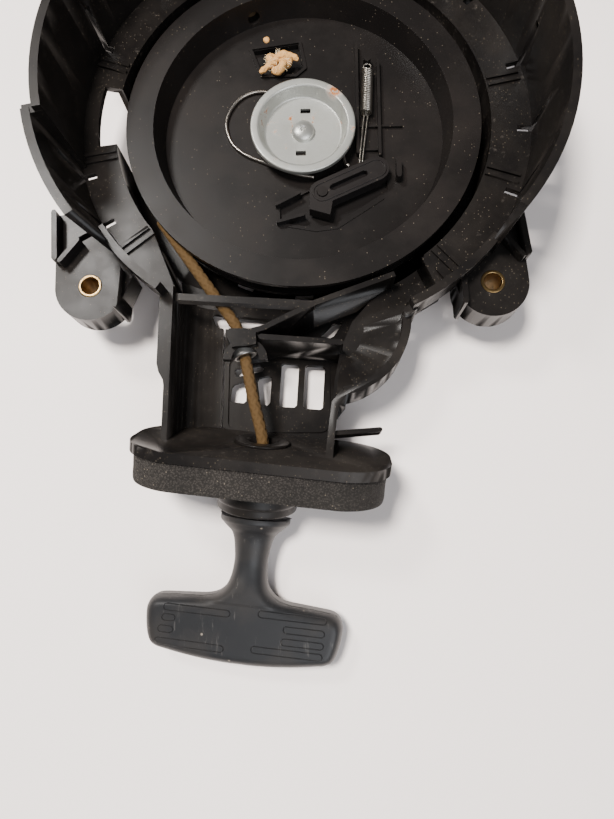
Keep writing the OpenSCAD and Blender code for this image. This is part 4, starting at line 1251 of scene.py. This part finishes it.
@dataclass
class PawlDrive:
    """The pawl, the brake spring, the retainer cup and its screw, and the mainspring below."""

    pawl_edge: float = 0.35
    cup_r: float = 20.5
    floor_z: float = -8.0
    cup_h: float = 6.0
    cup_t: float = 1.0
    slot_x: float = 0.9
    slot_y: float = 9.3
    slot_half: tuple[float, float] = (2.0, 1.0)
    screw_r: float = 2.5
    head_r: float = 4.6
    head_h: float = 2.6
    tip_z: float = -23.5
    wire_r: float = 0.7
    wire_z: float = -10.15
    route: tuple = (
        (4, -18.4), (-4, -16.5), (-16, -11.5), (-24, -7.5), (-29, -2), (-31, 6), (-28.5, 13.5),
        (-23.5, 18.5), (-16, 20), (-5, 15.5), (4, 13.2), (11, 9), (14, 2), (15.2, -6), (16.8, -13.5),
    )
    wire_end: tuple[float, float] = (17.5, -16.0)
    wire_top: float = -5.5
    zinc: Metal = Metal(
        "cup_zinc", "zinc_steel", (0.60, 0.61, 0.58), (0.47, 0.47, 0.43), 0.42, metallic=0.85,
        rust=0.34, rust_scale=330.0, patch=(12.5, 14.3, -3.0), patch_size=4.2,
    )
    screw_steel: Metal = Metal("screw_steel", "screw_steel", (0.62, 0.61, 0.57), (0.38, 0.37, 0.33), 0.24)
    wire_steel: Metal = Metal(
        "brake_wire_steel", "wire_steel", (0.66, 0.62, 0.57), (0.40, 0.34, 0.28), 0.28, rust=0.1
    )
    spring_steel: Metal = Metal(
        "mainspring_steel", "spring_steel", (0.40, 0.41, 0.44), (0.20, 0.20, 0.21), 0.35
    )
    plastic: MouldedPlastic = MouldedPlastic(
        "pawl_black", "pawl_plastic", color=(0.007, 0.006, 0.006), rough=0.42, grain=0.01,
        dust=0.06, haze=0.2, wear_and_highlight=0.3,
    )

    def pawl(self) -> bpy.types.Object:
        """The pawl, with rounded edges."""
        return stands_for(softened("pawl_body", "pawl", self.pawl_edge), self.plastic, "pawl", "pawl")

    def cup(self) -> bpy.types.Object:
        """The pressed cup: flat floor, curved wall and a turned-over rim, with two tabs punched out."""
        floor, r, t, bore = self.floor_z, self.cup_r, self.cup_t, self.screw_r + 0.2
        top = floor + self.cup_h - t
        outside = [[bore, floor - t], [r - 4.6, floor - t], [r - 2.7, top - t - 0.2], [r - 0.9, top - t]]
        rim = [[r - 0.7, top - 2.2], [r, top - 2.2], [r, top], [r - 3.2, top]]
        section = outside + rim + [[r - 5.1, floor], [bore, floor]]
        piece = add_object("cup_shell", mesh_of("cup_shell", [ring_of(Place(), section, 0.75, 160, 6)]))
        cutters = []
        for side in (-1, 1):
            middle = side * np.array([self.slot_x, self.slot_y])
            low, high = middle - self.slot_half, middle + self.slot_half
            cutters.append(block((*low, floor - 2), (*high, floor + 1)))
        carve(piece, cutters)
        shade(piece.data, 42)
        return stands_for(piece, self.zinc, "housing", "retainer_cup")

    def screw(self) -> bpy.types.Object:
        """A domed screw: the head falls as a quarter ellipse, with a small six-lobed dimple on top."""
        a = np.linspace(0, np.pi / 2, 22)
        seat, shank, tip, bevel = self.floor_z, self.screw_r, self.tip_z, 0.8
        dome = np.stack([self.head_r * np.sin(a), seat + 0.5 + (self.head_h - 0.5) * np.cos(a)], 1)
        under = [[self.head_r, seat], [shank, seat], [shank, tip + bevel], [shank - bevel, tip], [0.0, tip]]
        patch = lathe(np.vstack([dome, under]), 96, False)
        r = np.hypot(patch.points[..., 0], patch.points[..., 1])
        angle = np.arctan2(patch.points[..., 1], patch.points[..., 0])
        edge = 1.15 + 0.18 * np.cos(6 * angle)
        dip = 0.55 * np.clip((edge - r) / 0.35, 0, 1)
        patch.points[..., 2] -= np.where(patch.points[..., 2] > seat, dip, 0)
        return stands_for(made("domed_screw", [patch], 40), self.screw_steel, "housing", "center_screw")

    def wire(self) -> bpy.types.Object:
        """The brake spring: round wire in a loop, a turn round the hub and an upturned end."""
        stations = [(*p, self.wire_z) for p in self.route]
        turn = [(*self.wire_end, z) for z in (self.wire_z + 1.0, -7.5, self.wire_top - self.wire_r / 2)]
        wire = tube(curve_through(stations + turn, 0.5), self.wire_r, 14)
        return stands_for(made("brake_wire", [wire], 40), self.wire_steel, "brake", "brake_spring")

    def mainspring(self) -> None:
        """The mainspring keeps its shape and takes its steel."""
        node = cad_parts["mainspring"]
        material = bpy.data.materials.get(self.spring_steel.name) or self.spring_steel.build()
        for slot in node.material_slots:
            slot.material = material

    def build(self) -> list[bpy.types.Object]:
        """All pieces of the drive."""
        self.mainspring()
        return [self.pawl(), self.cup(), self.screw(), self.wire()]


@dataclass
class RopeRun:
    """The rope from the pulley through the guide, the collar and the handle's bore."""

    plait: Plait = Plait(32, 5, 9.0, 0.55)
    step: float = 0.28
    end_depth: float = 39.1
    blend_length: float = 36.0
    rope: Braid = Braid("rope_braid", "rope")

    def path(self) -> Array:
        """Stations: a tangent off the pulley, the guide's bore, the eyelet and the handle's bore."""
        coil = LAYOUT.groove_floor_r + 3 * LAYOUT.rope_r + 0.25 + LAYOUT.rope_r
        gin, gout = np.array(LAYOUT.guide_in), np.array(LAYOUT.guide_out)
        reach = float(np.linalg.norm(gin))
        angle = math.degrees(math.atan2(gin[1], gin[0]) - math.acos((coil - LAYOUT.rope_r) / reach))
        leave = polar(coil - LAYOUT.rope_r, angle)
        exit_place, handle = LAYOUT.exit(), LAYOUT.handle()
        free = [[*(leave + (gin - leave) * share), LAYOUT.groove_z] for share in (0.0, 0.35, 0.7)]
        level = LAYOUT.guide_z
        guided = [[*gin, level], [*((gin + gout) / 2), level], [*gout, level - 0.3]]
        neck = [(np.array([*gout, LAYOUT.guide_z]) + np.array(LAYOUT.exit_p)) / 2]
        collar = [exit_place.point(0, 0, along) for along in (-1.5, 5, 14, LAYOUT.collar_front)]
        grip = [handle.point(0, 0, along) for along in (3, 15, 28, self.end_depth)]
        return curve_through(free + guided + neck + collar + grip, self.step)

    def build(self) -> list[bpy.types.Object]:
        """One braided rope from the pulley through the collar into the handle's bore, fixed in place."""
        piece = made("rope_line", [self.plait.rope(self.path(), LAYOUT.rope_r)], 70)
        self.rope.dress(piece)
        start = LAYOUT.exit().point(0, 0, LAYOUT.collar_front - 1)
        end = LAYOUT.handle().point(0, 0, self.blend_length)
        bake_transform(piece)
        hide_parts("rope_run", "rope_handle_end")
        return [piece]


@dataclass
class PullHandle:
    """The grip with its filleted stem, its washer and the rope's stop knot."""

    mouth_r: float = 12.6
    neck_r: float = 6.1
    bar_half: float = 35.5
    bar_far: float = 53.0
    half_t: float = 7.0
    edge: float = 4.2
    edge_power: float = 2.4
    flatten_from: float = 17.0
    flatten_over: float = 15.0
    lip: float = 0.6
    bore_r: float = 2.6
    knot_floor: float = 39.6
    pocket_r: float = 4.8
    washer_t: float = 1.0
    plait: Plait = Plait(20, 4, 6.0, 0.35)
    steel: Metal = Metal("washer_steel", "zinc_steel", (0.58, 0.58, 0.56), (0.38, 0.37, 0.35), 0.35)
    rope: Braid = Braid("knot_braid", "rope", *KNOT_TONES_AND_GAP_SHADE, yarn=0.12)
    outlines: tuple[Outline, ...] = (
        Outline((-27.1, 35.6), (-5.8, 35.6)), Outline((6.4, 34.4), (28.2, 34.4)),
        Outline((-27.4, 39.2), (-25.0, 39.2)), Outline((-28.3, 43.3), (-25.3, 43.3)),
        Outline((15.7, 38.8), (27.9, 38.8)), Outline((15.4, 43.0), (27.9, 43.0)),
        Outline((-29.0, 47.6), (-6.8, 47.9)), Outline((5.2, 46.8), (27.9, 46.8)),
    )

    def silhouette(self) -> Array:
        """Half of the handle's outline as [half width, distance from the mouth].

        It runs out over the mouth's flange, in along the neck, out through a wide fillet to the bar's near
        side, round its end and back along a shallow parabola to the middle.
        """
        rim, thin = self.mouth_r, self.neck_r
        flange = [[0.0, 0.0], [rim - 0.5, 0.0], [rim, 0.5], [rim, 2.2], [rim - 0.9, 3.2]]
        neck = [[10.3, 4.6], [8.3, 6.4], [7.2, 8.8], [6.6, 11.8], [thin, 15.6], [thin + 0.1, 19.4]]
        flare = [[6.8, 23.2], [8.2, 26.4], [11.0, 28.9], [15.2, 30.2], [21.0, 30.7], [28.6, 31.3]]
        near_end = [[31.8, 31.8], [33.9, 33.0], [35.1, 35.0], [self.bar_half, 37.4]]
        far_end = [[35.1, 41.6], [34.2, 45.6], [32.8, 48.4], [30.4, 49.9]]
        x = np.linspace(27.5, 0, 24)
        far = np.stack([x, self.bar_far - (self.bar_far - 50.5) * (x / 27.5) ** 2], 1)
        corners = np.vstack([flange, neck, flare, near_end, far_end, far])
        return curve_through(np.column_stack([corners, np.zeros(len(corners))]), 0.3)[:, :2]

    def grip(self) -> bpy.types.Object:
        """The moulded grip.

        Rings lie across the axis at each point of the outline. On a ring, x is the half width times the
        cosine and the height is that of a round neck near the mouth and, past the fillet, of a flat bar
        whose edge drops by a superellipse of the distance to the outline.
        """
        half = self.silhouette()
        width, along = np.maximum(half[:, 0], 0.0), half[:, 1]
        v = np.linspace(0, 2 * np.pi, 144, endpoint=False)
        x = width[:, None] * np.cos(v)[None]
        z = np.repeat(along[:, None], len(v), 1)
        border = np.vstack([half, half * [-1, 1]])
        far = np.full(x.shape, 1e9)
        for part in np.array_split(border, 12):
            gap = (x[..., None] - part[:, 0]) ** 2 + (z[..., None] - part[:, 1]) ** 2
            far = np.minimum(far, gap.min(-1))
        inside = np.clip(np.sqrt(far) / self.edge, 0, 1)
        bar = self.half_t * (1 - (1 - inside) ** self.edge_power) ** (1 / self.edge_power)
        neck = np.sqrt(np.maximum(width[:, None] ** 2 - x**2, 0))
        share = np.clip((z - self.flatten_from) / self.flatten_over, 0, 1)
        share = share**2 * (3 - 2 * share)
        height = (neck * (1 - share) + bar * share) * np.clip(z / self.lip, 0, 1) ** 0.5
        y = np.sign(np.sin(v))[None] * height
        y[:, np.abs(np.sin(v)) < 1e-9] = 0
        place = LAYOUT.handle()
        piece = add_object("grip_body", mesh_of("grip_body", [place(Patch(np.stack([x, y, z], -1)))]))
        for r, low, high, segments in (
            (self.bore_r, -2, 45, 40), (self.pocket_r, self.knot_floor - 1.2, 60, 48),
        ):
            hole = lathe(np.array([[0, low], [r, low], [r, high], [0, high]], float), segments, False)
            carve(piece, [place(hole)])
        shade(piece.data, 50)
        plastic = GripPlastic("grip_plastic", "handle_plastic", outlines=self.outlines, place=place)
        return stands_for(piece, plastic, "handle", "handle_grip")

    def washer(self) -> bpy.types.Object:
        """The washer under the knot."""
        floor, r, bore = self.knot_floor - 1.15, self.pocket_r - 0.1, self.bore_r + 0.1
        section = [[bore, floor], [r, floor], [r, floor + self.washer_t], [bore, floor + self.washer_t]]
        piece = made("knot_washer", [ring_of(LAYOUT.handle(), section, 0.25, 48)], 45)
        return stands_for(piece, self.steel, "handle", "handle_washer")

    def knot(self) -> bpy.types.Object:
        """The stop knot: the same trefoil bight as the pulley's, smaller, with one short end."""
        t = np.linspace(0.3, 2 * np.pi - 0.3, 130)
        bight = trefoil(t, (0.95, 0.95, 1.52)) + [0.0, 0.0, 4.4]
        tail = np.array([[0.3, 0.2, 3.0], [0.5, 0.4, 6.5], [1.3, 0.9, 9.5]])
        patches = []
        for points, radius in ((bight, 1.7), (tail, 1.5)):
            path = curve_through(points + [0.0, 0.0, self.knot_floor], 0.2)
            patches.append(LAYOUT.handle()(self.plait.rope(path, radius)))
        return stands_for(made("stop_knot", patches, 70), self.rope, "handle", "rope_knot_handle")

    def build(self) -> list[bpy.types.Object]:
        """All pieces of the handle."""
        return [self.grip(), self.washer(), self.knot()]


# ---- Studio ----


@dataclass
class Studio:
    """A pale table, soft lamps and the camera."""

    table_size: float = 3.0
    lens: float = 27.03
    camera_at: tuple[float, float, float] = (7.779, -154.517, 209.5)
    camera_tilt: tuple[float, float] = (11.088, 1.645)
    key_at: tuple[float, float, float] = (-0.20, -0.02, 0.80)
    key_size: float = 0.16
    key_power: float = 20.0
    sheen_at: tuple[float, float, float] = (-0.42, 0.32, 0.80)
    sheen_power: float = 6.0
    fill_at: tuple[float, float, float] = (0.42, -0.75, 0.9)
    fill_power: float = 10.0
    fill_size: float = 0.9
    aim: tuple[float, float, float] = (0.0, -0.08, -0.02)
    sky: float = 0.12

    def table(self, height: float) -> bpy.types.Object:
        """A flat sheet under the lowest point of the object."""
        s = np.linspace(-self.table_size / 2, self.table_size / 2, 9) / MM
        x, y = np.meshgrid(s, s, indexing="ij")
        patch = Patch(np.stack([x, y, np.full_like(x, height / MM)], -1), round_columns=False)
        table = add_object("table", mesh_of("table", [patch]))
        table.data.materials.append(Paper("table_paper", "black_plastic").build())
        table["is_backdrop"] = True
        return table

    def lamp(
        self, name: str, at: tuple, size: float, power: float, color: Color, mirrored: bool = True
    ) -> None:
        """A square soft lamp that points at the starter; one not mirrored leaves no glare on flat faces."""
        light = bpy.data.lights.new(name, "AREA")
        light.size, light.energy, light.color = size, power, color
        lamp = bpy.data.objects.new(name, light)
        lamp.location = at
        lamp.visible_glossy = mirrored
        x, y, z = (float(c) for c in unit(np.array(self.aim) - np.array(at)))
        lamp.rotation_euler = (math.acos(-z), 0.0, math.atan2(y, x) - math.pi / 2)
        bpy.context.scene.collection.objects.link(lamp)

    def build(self, floor: float) -> None:
        """The table, the lamps, the sky and the camera.

        Args:
            floor: Height of the table, in metres.
        """
        self.table(floor)
        self.lamp("key_lamp", self.key_at, self.key_size, self.key_power, (1.0, 0.95, 0.89), mirrored=False)
        self.lamp("sheen_lamp", self.sheen_at, self.key_size, self.sheen_power, (1.0, 0.96, 0.92))
        self.lamp("fill_lamp", self.fill_at, self.fill_size, self.fill_power, (0.94, 0.96, 1.0))
        world = bpy.data.worlds.new("sky")
        world.use_nodes = True
        background = world.node_tree.nodes["Background"].inputs
        background[0].default_value = (1.0, 0.98, 0.97, 1.0)
        background[1].default_value = self.sky
        bpy.context.scene.world = world
        lens = bpy.data.cameras.new("camera")
        lens.lens, lens.sensor_width, lens.clip_start = self.lens, 36.0, 0.01
        camera = bpy.data.objects.new("camera", lens)
        camera.location = [c * MM for c in self.camera_at]
        camera.rotation_euler = (math.radians(self.camera_tilt[0]), math.radians(self.camera_tilt[1]), 0.0)
        bpy.context.scene.collection.objects.link(camera)
        bpy.context.scene.camera = camera


def main() -> None:
    """Builds the studio and every sub-assembly."""
    logging.basicConfig(level=logging.INFO, format="%(name)s: %(message)s")
    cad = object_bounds()
    Studio().build(cad[0].z)
    for part in (Housing(), Pulley(), PawlDrive(), RopeRun(), PullHandle()):
        for piece in part.build():
            log.info("%s: %s, %d faces", type(part).__name__, piece.name, len(piece.data.polygons))
    bpy.context.view_layer.update()


if __name__ == "__main__":
    main()
